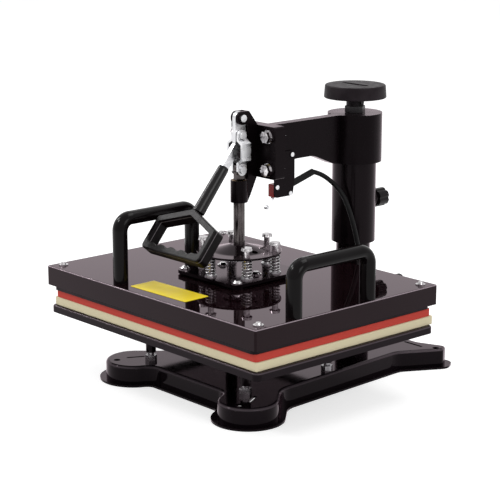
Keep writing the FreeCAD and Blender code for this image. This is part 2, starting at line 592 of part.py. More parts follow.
def build_platen():
    """The heated platen: cover, insulation, heating element and cast plate."""
    y = "sizes.platen_axis_y"
    foot = "sizes.platen_top_z - sizes.cover_height"
    plate_foot = "sizes.tray_top_z + sizes.felt_thick + sizes.mat_thick + sizes.press_gap"
    plate_top = f"{plate_foot} + sizes.plate_thick"
    edge = rectangle(size.cover_width, size.cover_depth, size.cover_corner)
    room = inset(edge, size.cover_sheet)
    body, slab = plate_body("platen_cover", edge, "sizes.cover_height", y, foot)
    fillet_edges(body, slab, "cover_round", "sizes.cover_edge", level(size.cover_height))
    hollow = outline(new_sketch(body, "cover_hollow", "XY"), room)
    pocket(body, hollow, "cover_inside", "sizes.cover_height - sizes.cover_sheet", backwards=True)
    holes = new_sketch(body, "cover_holes", "XY")
    for x, by in cover_screw_places():
        round_hole(holes, x, by, "sizes.cover_screw_shank")
    for x, by in plate_bolt_places():
        round_hole(holes, x, f"sizes.press_axis_y - sizes.platen_axis_y + {by}", "sizes.plate_bolt_radius")
    for x, by in handle_feet():
        round_hole(holes, x, f"{by} - sizes.platen_axis_y", "sizes.handle_screw_radius")
    pocket(body, holes, "cover_drilling", "sizes.cover_height + 1", backwards=True)
    gland_hole = new_sketch(body, "gland_opening", "XZ", "-sizes.cover_depth / 2 + sizes.cover_sheet / 2")
    round_hole(gland_hole, "sizes.gland_x", "sizes.cover_height - sizes.gland_drop",
               "sizes.gland_neck_radius")
    pocket(body, gland_hole, "gland_drilling", "sizes.cover_sheet * 3", both_ways=True)

    body, slab = plate_body("heat_plate", rectangle(size.plate_width, size.plate_depth, size.plate_corner),
                            "sizes.plate_thick", y, plate_foot)
    groove = new_sketch(body, "element_groove", "XY", "sizes.plate_thick")
    serpentine(groove, size.element_radius)
    pocket(body, groove, "groove_cut", "sizes.element_radius * 2")
    probe = new_sketch(body, "probe_hole", "XZ", "-sizes.plate_depth / 2")
    round_hole(probe, "sizes.probe_x", "sizes.plate_thick / 2", "sizes.probe_radius")
    pocket(body, probe, "probe_drilling", "sizes.probe_length", backwards=True)

    body = new_body("heating_element")
    at(body, "0", y, f"{plate_top} - sizes.element_radius * 2")
    path = new_sketch(body, "element_path", "XY")
    serpentine(path, size.element_radius)
    pad(body, path, "element_body", "sizes.element_radius * 2")
    keep("thermal_probe", rod("probe_rod", "sizes.probe_radius", "sizes.probe_length", "sizes.probe_x",
                              "sizes.platen_axis_y + sizes.plate_depth / 2 - sizes.probe_length",
                              f"{plate_foot} + sizes.plate_thick / 2", TO_Y))

    height = f"sizes.platen_top_z - sizes.cover_sheet - ({plate_top})"
    body, slab = plate_body("insulation", inset(room, size.blanket_gap), height, y, plate_top)
    pits = new_sketch(body, "blanket_pits", "XY", height)
    for x, by in cover_screw_places():
        round_hole(pits, x, by, "sizes.cover_screw_shank")
    for x, by in plate_bolt_places():
        round_hole(pits, x, f"sizes.press_axis_y - sizes.platen_axis_y + {by}", "sizes.plate_bolt_head")
    for x, by in handle_feet():
        round_hole(pits, x, f"{by} - sizes.platen_axis_y", "sizes.handle_screw_head")
    pocket(body, pits, "pits_cut", height)

    screws = []
    for x, by in cover_screw_places():
        by = f"sizes.platen_axis_y + {by}"
        washer = rod("cover_washer", "sizes.cover_washer_radius", "sizes.cover_washer_thick", x, by,
                     "sizes.platen_top_z")
        head = cone("cover_head", "sizes.cover_screw_radius", "sizes.cover_screw_tip",
                    "sizes.cover_screw_head", x, by, "sizes.platen_top_z + sizes.cover_washer_thick")
        shank = rod("cover_shank", "sizes.cover_screw_shank",
                    f"sizes.platen_top_z + sizes.cover_washer_thick - ({plate_top})", x, by, plate_top)
        screws.append(fused("cover_screw", washer, head, shank))
    keep("cover_screws", group("cover_screws", *screws))

    centre_z = "sizes.platen_top_z - sizes.gland_drop"
    rear = "sizes.platen_axis_y + sizes.cover_depth / 2"
    gland = fused("gland_blank",
                  rod("gland_body", "sizes.gland_radius", "sizes.gland_length", "sizes.gland_x", rear,
                      centre_z, TO_Y),
                  rod("gland_neck", "sizes.gland_neck_radius", "sizes.cover_sheet + 1", "sizes.gland_x",
                      f"{rear} - sizes.cover_sheet", centre_z, TO_Y))
    bore = rod("gland_bore", "sizes.gland_bore_radius", "sizes.gland_length + sizes.cover_sheet + 2",
               "sizes.gland_x", f"{rear} - sizes.cover_sheet - 1", centre_z, TO_Y)
    keep("cable_gland", cut("cable_gland", gland, bore))


def serpentine(sketch, radius):
    """Draws the outline of the element: parallel runs joined by half rings."""
    rows = int(size.element_rows)
    pitch, run = size.element_pitch, size.element_run
    start = -(rows - 1) / 2 * pitch
    bend = pitch / 2

    def side(sign):
        """Geometry of one side of the band, from the first run to the last."""
        parts = []
        for n in range(rows):
            y = start + n * pitch
            way = 1 if n % 2 == 0 else -1
            offset = sign * way * radius
            parts.append(("line", Vector(-way * run, y - offset, 0), Vector(way * run, y - offset, 0)))
            if n + 1 < rows:
                arc_radius = bend + sign * radius
                centre = Vector(way * run, y + bend, 0)
                parts.append(("arc", Vector(way * run, centre.y - arc_radius, 0),
                              Vector(way * run + way * arc_radius, centre.y, 0),
                              Vector(way * run, centre.y + arc_radius, 0)))
        return parts

    outer, inner = side(1), side(-1)
    for part in outer + inner:
        if part[0] == "line":
            sketch.addGeometry(Part.LineSegment(part[1], part[2]), False)
        else:
            sketch.addGeometry(Part.Arc(part[1], part[2], part[3]), False)
    sketch.addGeometry(Part.LineSegment(outer[0][1], inner[0][1]), False)
    sketch.addGeometry(Part.LineSegment(outer[-1][2], inner[-1][2]), False)


def spring_places():
    """The spring bolts' places round the press axis, as expressions."""
    for n in range(int(size.spring_count)):
        angle = math.radians(30 + 360 / size.spring_count * n)
        yield (f"sizes.spring_circle * {math.cos(angle):.6f}",
               f"sizes.press_axis_y + sizes.spring_circle * {math.sin(angle):.6f}")


def arc_from(start, way, stop, backwards=False):
    """An arc between two points that leaves the first, or reaches the second, in a given direction."""
    chord = stop - start
    along = Vector(chord).normalize()
    swing = way.getAngle(along)
    step = Vector(way + along).normalize() * (chord.Length / (2 * math.cos(swing / 2)))
    return Part.Arc(start, stop - step if backwards else start + step, stop)


def coil(radius, wire, turns, height):
    """A compression spring with closed end turns, as one pipe along biarcs of half a turn."""
    halves = int(turns * 2)
    closed = wire * 2 + size.spring_end_gap
    middle = (height - 2 * wire - 2 * closed) / (turns - 2)

    def rise(turn):
        """The height of the wire's centre after some turns."""
        ends = closed * (min(turn, 1) + max(turn - turns + 1, 0))
        return wire + ends + middle * min(max(turn - 1, 0), turns - 2)

    def point(turn):
        """A point of the coil."""
        a = turn * 2 * math.pi
        return Vector(radius * math.cos(a), radius * math.sin(a), rise(turn))

    def heading(turn):
        """The coil's direction, with the mean pitch on both sides of a point."""
        a = turn * 2 * math.pi
        low, high = max(turn - 0.25, 0), min(turn + 0.25, turns)
        pitch = (rise(high) - rise(low)) / (high - low)
        return Vector(-math.sin(a) * radius, math.cos(a) * radius, pitch / (2 * math.pi)).normalize()

    edges = []
    for n in range(halves):
        a, b, u, v = point(n / 2), point((n + 1) / 2), heading(n / 2), heading((n + 1) / 2)
        gap, both = b - a, u + v
        spread = 2 * (1 - u.dot(v))
        reach = (-gap.dot(both) + math.sqrt(gap.dot(both) ** 2 + spread * gap.dot(gap))) / spread
        joint = (a + b + (u - v) * reach) * 0.5
        edges += [arc_from(a, u, joint), arc_from(joint, v, b, True)]
    path = Part.Wire([edge.toShape() for edge in edges])
    ring = Part.Wire(Part.Circle(point(0), heading(0), wire).toShape())
    shell = path.makePipeShell([ring], True, False)
    per_arc = 12
    samples = [edge.value(edge.FirstParameter + (edge.LastParameter - edge.FirstParameter) * k / per_arc)
               for edge in edges for k in range(per_arc)]
    turn_steps = 4 * per_arc
    least = min((samples[a] - samples[b]).Length for a in range(len(samples))
                for b in range(a + turn_steps * 3 // 4, min(a + turn_steps * 5 // 4, len(samples))))
    return shell, least - 2 * wire


def build_spring_pack():
    """The sprung coupling between the press disc and the platen."""
    y = "sizes.press_axis_y"
    plate_z = "sizes.platen_top_z + sizes.spacer_height"
    seat_z = f"{plate_z} + sizes.spring_plate_thick"
    body = new_body("spring_plate")
    at(body, "0", y, plate_z)
    sketch = new_sketch(body, "spring_plate_outline", "XY")
    outline(sketch, rectangle(size.spring_plate_width, size.spring_plate_depth, size.spring_plate_corner))
    for x, by in spring_places():
        round_hole(sketch, x, f"{by} - sizes.press_axis_y", "sizes.spring_bolt_radius")
    for x, by in plate_bolt_places():
        round_hole(sketch, x, by, "sizes.plate_bolt_radius")
    pad(body, sketch, "spring_plate_pad", "sizes.spring_plate_thick")

    spacers, bolts = [], []
    for x, by in plate_bolt_places():
        by = f"sizes.press_axis_y + {by}"
        blank = rod("spacer_blank", "sizes.spacer_radius", "sizes.spacer_height", x, by, "sizes.platen_top_z")
        hole = rod("spacer_hole", "sizes.plate_bolt_radius", "sizes.spacer_height + 2", x, by,
                   "sizes.platen_top_z - 1")
        spacers.append(cut("spacer", blank, hole))
        washer = rod("plate_washer", "sizes.plate_washer_radius", "sizes.plate_washer_thick", x, by, seat_z)
        head = cone("plate_head", "sizes.plate_bolt_head", "sizes.plate_bolt_crown",
                    "sizes.plate_bolt_height", x, by, f"{seat_z} + sizes.plate_washer_thick")
        reach = "sizes.spacer_height + sizes.spring_plate_thick + sizes.cover_sheet + sizes.plate_bolt_nut"
        shank = rod("plate_shank", "sizes.plate_bolt_radius", f"{reach} + sizes.plate_washer_thick + 1",
                    x, by, f"{seat_z} - ({reach})")
        bolts.append(fused("plate_bolt", washer, head, shank))
    keep("plate_spacers", group("plate_spacers", *spacers))
    keep("plate_bolts", group("plate_bolts", *bolts))

    pins, seats = [], []
    for x, by in spring_places():
        head = cone("spring_head", "sizes.spring_bolt_head", "sizes.spring_bolt_crown",
                    "sizes.spring_bolt_height", x, by, "sizes.spring_bolt_top_z - sizes.spring_bolt_height")
        shank = rod("spring_shank", "sizes.spring_bolt_radius",
                    f"sizes.spring_bolt_top_z - 1 - ({plate_z})", x, by, plate_z)
        pins.append(fused("spring_bolt", head, shank))
        blank = rod("seat_blank", "sizes.spring_seat_radius", "sizes.spring_seat", x, by, seat_z)
        hole = rod("seat_hole", "sizes.spring_bolt_radius", "sizes.spring_seat + 2", x, by, f"{seat_z} - 1")
        seats.append(cut("seat", blank, hole))
    keep("spring_bolts", group("spring_bolts", *pins))
    keep("spring_seats", group("spring_seats", *seats))

    height = size.disc_top_z - size.disc_thick - spring_foot_z - size.spring_seat_gap - size.spring_disc_gap
    shape, least = coil(size.spring_coil_radius, size.spring_wire_radius, size.spring_turns, height)
    print(f"springs: {size.spring_turns * size.spring_count:.0f} curls in all, least self-gap {least:.2f} mm")
    coils = []
    for n in range(int(size.spring_count)):
        angle = math.radians(30 + 360 / size.spring_count * n)
        one = shape.copy()
        one.Placement = Placement(
            Vector(size.spring_circle * math.cos(angle), size.spring_circle * math.sin(angle), 0), Rotation())
        coils.append(one)
    springs = raw("press_springs", Part.makeCompound(coils))
    at(springs, "0", y, f"{seat_z} + sizes.spring_seat + sizes.spring_seat_gap")

    body = new_body("pressure_disc")
    at(body, "0", y, "sizes.disc_top_z - sizes.disc_thick")
    sketch = new_sketch(body, "disc_profile", "XZ")
    rim, base = size.disc_radius, size.disc_dome_radius
    crown, stub = size.disc_crown_radius, size.rod_stub_radius
    core, drop, high = size.disc_core_radius, size.disc_core_depth, size.disc_thick
    outline(sketch, [(stub, -drop, 0), (core, -drop, 0.8), (core, 0, 0.6), (rim, 0, 0.8), (rim, high, 0.8),
                     (base, high, 14), (crown, high + size.disc_dome, 5), (stub, high + size.disc_dome, 0)])
    turning(body, sketch, "disc_turned")
    holes = new_sketch(body, "disc_holes", "XY", "-1")
    for x, by in spring_places():
        round_hole(holes, x, f"{by} - sizes.press_axis_y", "sizes.spring_bolt_radius + sizes.slide_gap")
    round_hole(holes, "sizes.disc_eye_x", "0", "sizes.disc_eye_radius")
    pocket(body, holes, "disc_drilling", "sizes.disc_thick + sizes.disc_dome + 2", backwards=True)


def build_rod():
    """The press rod: a chrome bar with a flat tongue for the links and a stub through the disc."""
    y = "sizes.press_axis_y"
    wrist = "sizes.pivot_z - sizes.crank_length - sizes.link_length"
    crown = "(sizes.disc_top_z + sizes.disc_dome)"
    shaft = rod("rod_shaft", "sizes.rod_radius", f"sizes.rod_shoulder_z - {crown}", "0", y, crown)
    foot = "sizes.disc_top_z - sizes.disc_thick - sizes.disc_core_depth - sizes.rod_nut_height"
    stub = rod("rod_stub", "sizes.rod_stub_radius", f"{crown} - ({foot}) + 1", "0", y, foot)
    tongue = block("tongue_bar", "sizes.rod_tongue_thick", "sizes.rod_neck_width",
                   f"{wrist} - sizes.rod_shoulder_z + 2", "0", y, "sizes.rod_shoulder_z - 2")
    eye = rod("tongue_eye", "sizes.rod_tongue_width / 2", "sizes.rod_tongue_thick",
              "-sizes.rod_tongue_thick / 2", y, wrist, TO_X)
    hole = rod("tongue_hole", "sizes.pin_radius + sizes.pin_gap", "sizes.rod_tongue_thick + 2",
               "-sizes.rod_tongue_thick / 2 - 1", y, wrist, TO_X)
    keep("press_rod", cut("press_rod", fused("rod_blank", shaft, stub, tongue, eye), hole))

    nut = hexagon("rod_nut_blank", "sizes.rod_nut_flats", "sizes.rod_nut_height", "0", y, foot)
    bore = rod("rod_nut_bore", "sizes.rod_stub_radius", "sizes.rod_nut_height + 2", "0", y, f"{foot} - 1")
    keep("rod_nut", cut("rod_nut", nut, bore))


def flange_bolt_places():
    """The four bolts that hold the guide head on the arm."""
    for sx in (-1, 1):
        for z in ("low", "high"):
            yield f"{sx} * sizes.flange_bolt_x", f"sizes.flange_bolt_{z}_z"


def build_head():
    """The guide head: ears, web, guide boss and a flange with four bolts."""
    body = new_body("guide_head")
    py, pz, face = size.press_axis_y, size.pivot_z, size.head_flange_y
    ear, front, foot = size.ear_radius, size.press_axis_y + size.web_front_gap, size.guide_foot_z
    low, high, w, r = size.flange_foot_z, size.flange_top_z, size.flange_half_width, size.flange_corner
    wide = "sizes.strap_thick + 2 * sizes.ear_gap + 2 * sizes.ear_thick"
    flange = new_sketch(body, "flange_face", "XZ", "-sizes.head_flange_y")
    outline(flange, [(-w, low, r), (w, low, r), (w, high, r), (-w, high, r)])
    pad(body, flange, "flange_body", "sizes.flange_thick", backwards=True)
    web = new_sketch(body, "web_side", "YZ")
    outline(web, [
        (py - ear, pz - ear, ear * 0.96), (front, pz - ear, 1.5), (front, size.guide_top_z, 1.5),
        (py, size.guide_top_z, 0), (py, foot, 0), (front - 0.8, foot, 0),
        (front + size.web_bend_reach, foot + size.web_bend_rise, size.web_bend_radius),
        (face + 2, low + 3, 0), (face + 2, high - 0.5, 0),
        (front + 1.5, pz + ear, 3), (py - ear, pz + ear, ear * 0.96),
    ])
    pad(body, web, "web_body", wide, both_ways=True)
    boss = new_sketch(body, "boss_section", "XY", "sizes.guide_foot_z")
    round_hole(boss, "0", "sizes.press_axis_y", "sizes.guide_radius")
    pad(body, boss, "boss_body", "sizes.guide_top_z - sizes.guide_foot_z")
    bore = new_sketch(body, "guide_bore", "XY", "sizes.guide_foot_z - 1")
    round_hole(bore, "0", "sizes.press_axis_y", "sizes.rod_radius + sizes.pin_gap + sizes.bush_wall")
    pocket(body, bore, "guide_boring", "sizes.guide_top_z - sizes.guide_foot_z + 2", backwards=True)
    slot = new_sketch(body, "strap_slot", "YZ")
    rear = py + size.lever_head_radius + 0.6
    outline(slot, [(py - ear - 2, pz - ear - 6, 0), (rear, pz - ear - 6, 0), (rear, pz + ear + 2, 0),
                   (py - ear - 2, pz + ear + 2, 0)])
    pocket(body, slot, "strap_cut", "sizes.strap_thick + 2 * sizes.ear_gap", both_ways=True)
    pin = new_sketch(body, "pivot_hole", "YZ")
    round_hole(pin, "sizes.press_axis_y", "sizes.pivot_z", "sizes.pin_radius")
    pocket(body, pin, "pivot_drilling", f"2 * ({wide})", both_ways=True)
    drill = new_sketch(body, "flange_drill", "XZ", "-sizes.head_flange_y")
    for x, z in flange_bolt_places():
        round_hole(drill, x, z, "sizes.flange_bolt_radius")
    pocket(body, drill, "flange_drilling", "sizes.flange_thick + 1")

    shell = rod("bush_blank", "sizes.rod_radius + sizes.pin_gap + sizes.bush_wall",
                "sizes.guide_top_z - sizes.guide_foot_z", "0", "sizes.press_axis_y", "sizes.guide_foot_z")
    hole = rod("bush_bore", "sizes.rod_radius + sizes.pin_gap",
               "sizes.guide_top_z - sizes.guide_foot_z + 2", "0",
               "sizes.press_axis_y", "sizes.guide_foot_z - 1")
    keep("guide_bush", cut("guide_bush", shell, hole))

    bolts, nuts = [], []
    rear_face = "sizes.head_flange_y + 2 * sizes.flange_thick"
    for x, z in flange_bolt_places():
        seat = "sizes.head_flange_y - sizes.flange_washer_thick"
        washer = rod("flange_washer", "sizes.flange_washer_radius", "sizes.flange_washer_thick", x, seat,
                     z, TO_Y)
        head = hexagon("flange_hex", "sizes.flange_bolt_flats", "sizes.flange_bolt_height", x,
                       f"{seat} - sizes.flange_bolt_height", z, TO_Y)
        shank = rod("flange_shank", "sizes.flange_bolt_radius",
                    "sizes.flange_washer_thick + 2 * sizes.flange_thick + 1.4 * sizes.flange_bolt_height",
                    x, seat, z, TO_Y)
        bolts.append(fused("flange_bolt", washer, head, shank))
        blank = hexagon("flange_nut_blank", "sizes.flange_bolt_flats", "sizes.flange_bolt_height", x,
                        rear_face, z, TO_Y)
        nut_hole = rod("flange_nut_hole", "sizes.flange_bolt_radius", "sizes.flange_bolt_height + 2", x,
                       f"{rear_face} - 1", z, TO_Y)
        nuts.append(cut("flange_nut", blank, nut_hole))
    keep("flange_bolts", group("flange_bolts", *bolts))
    keep("flange_nuts", group("flange_nuts", *nuts))

    side = "(sizes.strap_thick / 2 + sizes.ear_gap + sizes.ear_thick)"
    keep("pivot_pin", fused(
        "pivot_pin",
        rod("pivot_shank", "sizes.pin_radius", wide, f"-{side}", "sizes.press_axis_y", "sizes.pivot_z", TO_X),
        rod("pivot_head", "sizes.pin_head_radius", "sizes.pin_head_height", side, "sizes.press_axis_y",
            "sizes.pivot_z", TO_X),
        rod("pivot_nut", "sizes.pin_head_radius", "sizes.pin_head_height", f"-{side} - sizes.pin_head_height",
            "sizes.press_axis_y", "sizes.pivot_z", TO_X)))


def build_arm():
    """The swinging arm: hub, arched web and front flange on a sleeve that turns on the post."""
    body = new_body("swing_arm")
    hub = new_sketch(body, "hub_section", "XY", "sizes.hub_foot_z")
    round_hole(hub, "0", "sizes.column_axis_y", "sizes.hub_radius")
    pad(body, hub, "hub_body", "sizes.arm_top_z - sizes.hub_foot_z")
    web = new_sketch(body, "arm_side", "YZ")
    start = size.head_flange_y + size.flange_thick + 1
    inside = size.column_axis_y - size.hub_radius + 6
    outline(web, [
        (start, size.arm_top_z, 0), (start, size.flange_foot_z + 2, 0),
        (start + size.flange_thick, size.flange_foot_z + 2, 8), (size.arch_front_y, size.arch_top_z, 30),
        (size.arch_rear_y, size.arch_top_z, 30), (size.arch_foot_y, size.arch_foot_z, 12),
        (inside, size.hub_foot_z, 0), (inside, size.arm_top_z, 0),
    ])
    pad(body, web, "arm_web", "2 * sizes.arm_half_thick", both_ways=True)
    flange = new_sketch(body, "arm_flange", "XZ", "-(sizes.head_flange_y + sizes.flange_thick)")
    w, low, high, r = size.flange_half_width, size.flange_foot_z, size.flange_top_z, size.flange_corner
    outline(flange, [(-w, low, r), (w, low, r), (w, high, r), (-w, high, r)])
    pad(body, flange, "arm_flange_body", "sizes.flange_thick", backwards=True)
    drill = new_sketch(body, "arm_drill", "XZ", "-(sizes.head_flange_y + sizes.flange_thick)")
    for x, z in flange_bolt_places():
        round_hole(drill, x, z, "sizes.flange_bolt_radius")
    pocket(body, drill, "arm_drilling", "sizes.flange_thick + 1")
    bore = new_sketch(body, "hub_bore", "XY", "sizes.hub_foot_z - 1")
    round_hole(bore, "0", "sizes.column_axis_y", "sizes.post_radius + sizes.sleeve_gap")
    pocket(body, bore, "hub_boring", "sizes.post_top_z + sizes.carriage_flange + sizes.sleeve_gap "
           "- sizes.hub_foot_z + 1", backwards=True)
    hole = new_sketch(body, "screw_hole", "XY", "sizes.hub_foot_z")
    round_hole(hole, "0", "sizes.column_axis_y", "sizes.spindle_radius + sizes.spindle_gap")
    pocket(body, hole, "screw_drilling", "sizes.arm_top_z - sizes.hub_foot_z + 1", backwards=True)

    outer = rod("sleeve_blank", "sizes.sleeve_radius", "sizes.hub_foot_z - sizes.sleeve_foot_z", "0",
                "sizes.column_axis_y", "sizes.sleeve_foot_z")
    boss = rod("lock_boss", "sizes.lock_boss_radius", "sizes.sleeve_radius + sizes.lock_boss_length", "0",
               "sizes.column_axis_y", "sizes.lock_z", TO_Y)
    bore = rod("sleeve_bore", "sizes.post_radius + sizes.sleeve_gap",
               "sizes.hub_foot_z - sizes.sleeve_foot_z + 2", "0", "sizes.column_axis_y",
               "sizes.sleeve_foot_z - 1")
    thread = rod("lock_thread", "sizes.lock_screw_radius + sizes.pin_gap",
                 "sizes.sleeve_radius + sizes.lock_boss_length + 2", "0", "sizes.column_axis_y",
                 "sizes.lock_z", TO_Y)
    keep("column_sleeve", cut("column_sleeve", fused("sleeve_with_boss", outer, boss), bore, thread))


def build_pressure_screw():
    """The pressure knob on its spindle, and the carriage that the screw lifts."""
    y = "sizes.column_axis_y"
    stem = rod("carriage_stem", "sizes.post_radius - sizes.post_wall - sizes.sleeve_gap",
               "sizes.carriage_length",
               "0", y, "sizes.post_top_z + sizes.sleeve_gap - sizes.carriage_length + 0.1")
    cap = rod("carriage_cap", "sizes.post_radius", "sizes.carriage_flange", "0", y,
              "sizes.post_top_z + sizes.sleeve_gap")
    bore = rod("carriage_bore", "sizes.spindle_radius + sizes.spindle_gap",
               "sizes.carriage_length + sizes.carriage_flange + 2", "0", y,
               "sizes.post_top_z - sizes.carriage_length - 1")
    keep("lift_carriage", cut("lift_carriage", fused("carriage_blank", stem, cap), bore))

    spindle = rod("spindle_bar", "sizes.spindle_radius",
                  "sizes.knob_foot_z + sizes.knob_height / 2 - sizes.spindle_foot_z", "0", y,
                  "sizes.spindle_foot_z")
    keep("knob_spindle", spindle)

    blank = hexagon("collar_blank", "sizes.collar_radius * 2 * cos(30 deg)", "sizes.collar_height", "0", y,
                    "sizes.arm_top_z + sizes.sleeve_gap")
    hole = rod("collar_hole", "sizes.spindle_radius", "sizes.collar_height + 2", "0", y,
               "sizes.arm_top_z - 0.5")
    keep("thrust_collar", cut("thrust_collar", blank, hole))

    body = new_body("pressure_knob")
    at(body, "0", y, "sizes.knob_foot_z")
    sketch = new_sketch(body, "knob_profile", "XZ")
    high, stem = size.knob_height, size.knob_stem_radius
    drop = size.knob_foot_z - (size.arm_top_z + size.sleeve_gap + size.collar_height)
    edge = size.knob_edge
    outline(sketch, [
        (0, high / 2, 0), (size.spindle_radius, high / 2, 0), (size.spindle_radius, -drop, 0),
        (stem, -drop, 0.6),
        (stem, 0, 2), (size.knob_radius, 0, 1.2), (size.knob_top_radius, high, edge), (0, high, 0),
    ])
    turning(body, sketch, "knob_turned")
    bar = new_sketch(body, "knob_mark", "XY", "sizes.knob_height")
    outline(bar, rectangle(size.knob_mark_length, size.knob_mark_width, size.knob_mark_width * 0.45))
    pocket(body, bar, "mark_cut", "sizes.knob_mark_depth")
    side = new_sketch(body, "set_screw_hole", "YZ", "0")
    round_hole(side, "0", f"-{drop / 2:.3f}", "sizes.set_screw_radius")
    pocket(body, side, "set_screw_drilling", "sizes.knob_stem_radius + 1", backwards=True)

    keep("knob_set_screw", rod("knob_set_screw", "sizes.set_screw_radius",
                               "sizes.knob_stem_radius - sizes.spindle_radius + sizes.set_screw_proud",
                               "sizes.spindle_radius", y, f"sizes.knob_foot_z - {drop / 2:.3f}", TO_X))


def build_lock():
    """The column lock: a lobed knob on a screw through the sleeve's boss."""
    y0 = "sizes.column_axis_y + sizes.post_radius + sizes.sleeve_gap"
    knob_y = "sizes.column_axis_y + sizes.sleeve_radius + sizes.lock_boss_length + sizes.lock_gap"
    keep("lock_screw", rod("lock_screw", "sizes.lock_screw_radius",
                           "sizes.sleeve_radius + sizes.lock_boss_length + sizes.lock_gap "
                           "+ sizes.lock_knob_length / 2 - sizes.post_radius - 2 * sizes.sleeve_gap",
                           "0", f"{y0} + sizes.sleeve_gap", "sizes.lock_z", TO_Y))
    body = new_body("lock_knob")
    at(body, "0", knob_y, "sizes.lock_z")
    sketch = new_sketch(body, "lock_section", "XZ")
    round_hole(sketch, "0", "0", "sizes.lock_knob_radius")
    blank = pad(body, sketch, "lock_body", "sizes.lock_knob_length", backwards=True)
    flute = new_sketch(body, "lock_flute", "XZ")
    round_hole(flute, "sizes.lock_knob_radius + sizes.lock_flute_gap", "0", "sizes.lock_flute_radius")
    cutter = pocket(body, flute, "lock_flute_cut", "sizes.lock_knob_length")
    doc.recompute()
    pattern = body.newObject("PartDesign::PolarPattern", "lock_flutes")
    pattern.Originals = [cutter]
    pattern.Axis = (sketch, ["N_Axis"])
    pattern.Angle = 360
    pattern.setExpression("Occurrences", "sizes.lock_lobes")
    body.Tip = pattern
    bore = new_sketch(body, "lock_bore", "XZ")
    round_hole(bore, "0", "0", "sizes.lock_screw_radius")
    pocket(body, bore, "lock_boring", "sizes.lock_knob_length / 2")


def build_lever():
    """The lever: a flat cranked bar, a round sleeve and the pentagonal grip."""
    body = new_body("lever_bar")
    py, pz = size.press_axis_y, size.pivot_z
    wide, half = size.lever_head_radius, size.lever_bar_width / 2
    sine, cosine = math.sin(lever_turn), math.cos(lever_turn)
    down = Vector(-sine, -cosine, 0)
    line = Vector(size.lever_line_y, size.lever_line_z, 0)
    rear, fore = line + Vector(cosine, -sine, 0) * half, line + Vector(-cosine, sine, 0) * half
    knee_rear = crossing(rear, down, Vector(py + wide, pz, 0), Y_AXIS)
    knee_fore = crossing(fore, down, Vector(py - wide, pz, 0), Y_AXIS)
    end = size.bar_seat_depth
    sketch = new_sketch(body, "lever_side", "YZ")
    outline(sketch, [(p.x, p.y, r) for p, r in (
        (Vector(py - wide, pz + wide, 0), wide * 0.96), (Vector(py + wide, pz + wide, 0), wide * 0.96),
        (knee_rear, 6), (rear + down * end, 0), (fore + down * end, 0), (knee_fore, 4))])
    pad(body, sketch, "lever_body", "sizes.strap_thick", both_ways=True)
    holes = new_sketch(body, "lever_holes", "YZ")
    round_hole(holes, "sizes.press_axis_y", "sizes.pivot_z", "sizes.pin_radius + sizes.pin_gap")
    round_hole(holes, "sizes.press_axis_y", "sizes.pivot_z - sizes.crank_length", "sizes.pin_radius")
    pocket(body, holes, "lever_drilling", "sizes.strap_thick * 2", both_ways=True)

    crank = ("sizes.press_axis_y", "sizes.pivot_z - sizes.crank_length")
    side = "(sizes.strap_thick / 2 + 2 * sizes.ear_gap + sizes.link_thick)"
    head = "sizes.pin_washer_height"
    keep("crank_pin", fused(
        "crank_pin", rod("crank_shank", "sizes.pin_radius", f"2 * {side} + 0.8", f"-{side} - 0.4",
                         *crank, TO_X),
        rod("crank_head", "sizes.pin_head_radius", head, f"{side} + sizes.pin_side_gap", *crank, TO_X),
        rod("crank_nut", "sizes.pin_head_radius", head, f"-{side} - sizes.pin_side_gap - {head}", *crank,
            TO_X)))

    tilt = Rotation(X_AXIS, -size.lever_angle)
    sleeve = new_body("lever_sleeve")
    profile = new_sketch(sleeve, "sleeve_profile", "XZ")
    outline(profile, [(0, -size.sleeve_length, 0), (size.sleeve_low_radius, -size.sleeve_length, 0),
                      (size.sleeve_low_radius * 0.95, -size.sleeve_length * 0.6, size.sleeve_waist_radius),
                      (size.sleeve_top_radius, -3, 2), (size.sleeve_top_radius * 0.9, 0, 0.6), (0, 0, 0)])
    turning(sleeve, profile, "sleeve_turned")
    slot = new_sketch(sleeve, "bar_slot", "XY", "1")
    outline(slot, rectangle(size.strap_thick, size.lever_bar_width, 0))
    pocket(sleeve, slot, "bar_slot_cut", "sizes.bar_seat_depth + 1")
    place_on_lever(sleeve, tilt)

    grip = new_body("lever_grip")
    face = new_sketch(grip, "grip_face", "XZ")
    w, top = size.grip_half_width, -size.sleeve_length
    shoulder, low = top - size.grip_shoulder, top - size.grip_height
    outline(face, [(-w, low, 6), (w, low, 6), (w, shoulder, 3), (0, top, 3), (-w, shoulder, 3)])
    slab = pad(grip, face, "grip_body", "sizes.grip_thick", both_ways=True)
    side_y = size.grip_thick / 2
    fillet_edges(grip, slab, "grip_round", "sizes.grip_edge_radius",
                 lambda e: abs(abs(e.BoundBox.YMin) - side_y) < 1e-4 and e.BoundBox.YLength < 1e-4)
    slope = math.atan2(size.grip_shoulder, w)
    side, inner_low = w - size.grip_side_wall, low + size.grip_low_wall
    peak = top - size.grip_top_wall / math.cos(slope)
    hole = new_sketch(grip, "grip_opening", "XZ")
    outline(hole, [(-side, inner_low, 3), (side, inner_low, 3), (side, peak - side * math.tan(slope), 2),
                   (0, peak, 2), (-side, peak - side * math.tan(slope), 2)])
    pocket(grip, hole, "grip_window", "sizes.grip_thick * 2", both_ways=True)
    for n in range(4):
        fingers = new_sketch(grip, f"finger_seat_{n}", "XZ")
        round_hole(fingers, f"({n - 1.5}) * sizes.finger_pitch",
                   f"{inner_low:.3f} + sizes.finger_radius - sizes.finger_depth", "sizes.finger_radius")
        pocket(grip, fingers, f"finger_cut_{n}", "sizes.grip_thick * 2", both_ways=True)
    place_on_lever(grip, tilt)


def place_on_lever(body, tilt):
    """Tilts an upright piece onto the lever's line, its Z axis along the lever."""
    body.Placement = Placement(Vector(0, size.lever_line_y, size.lever_line_z), tilt)


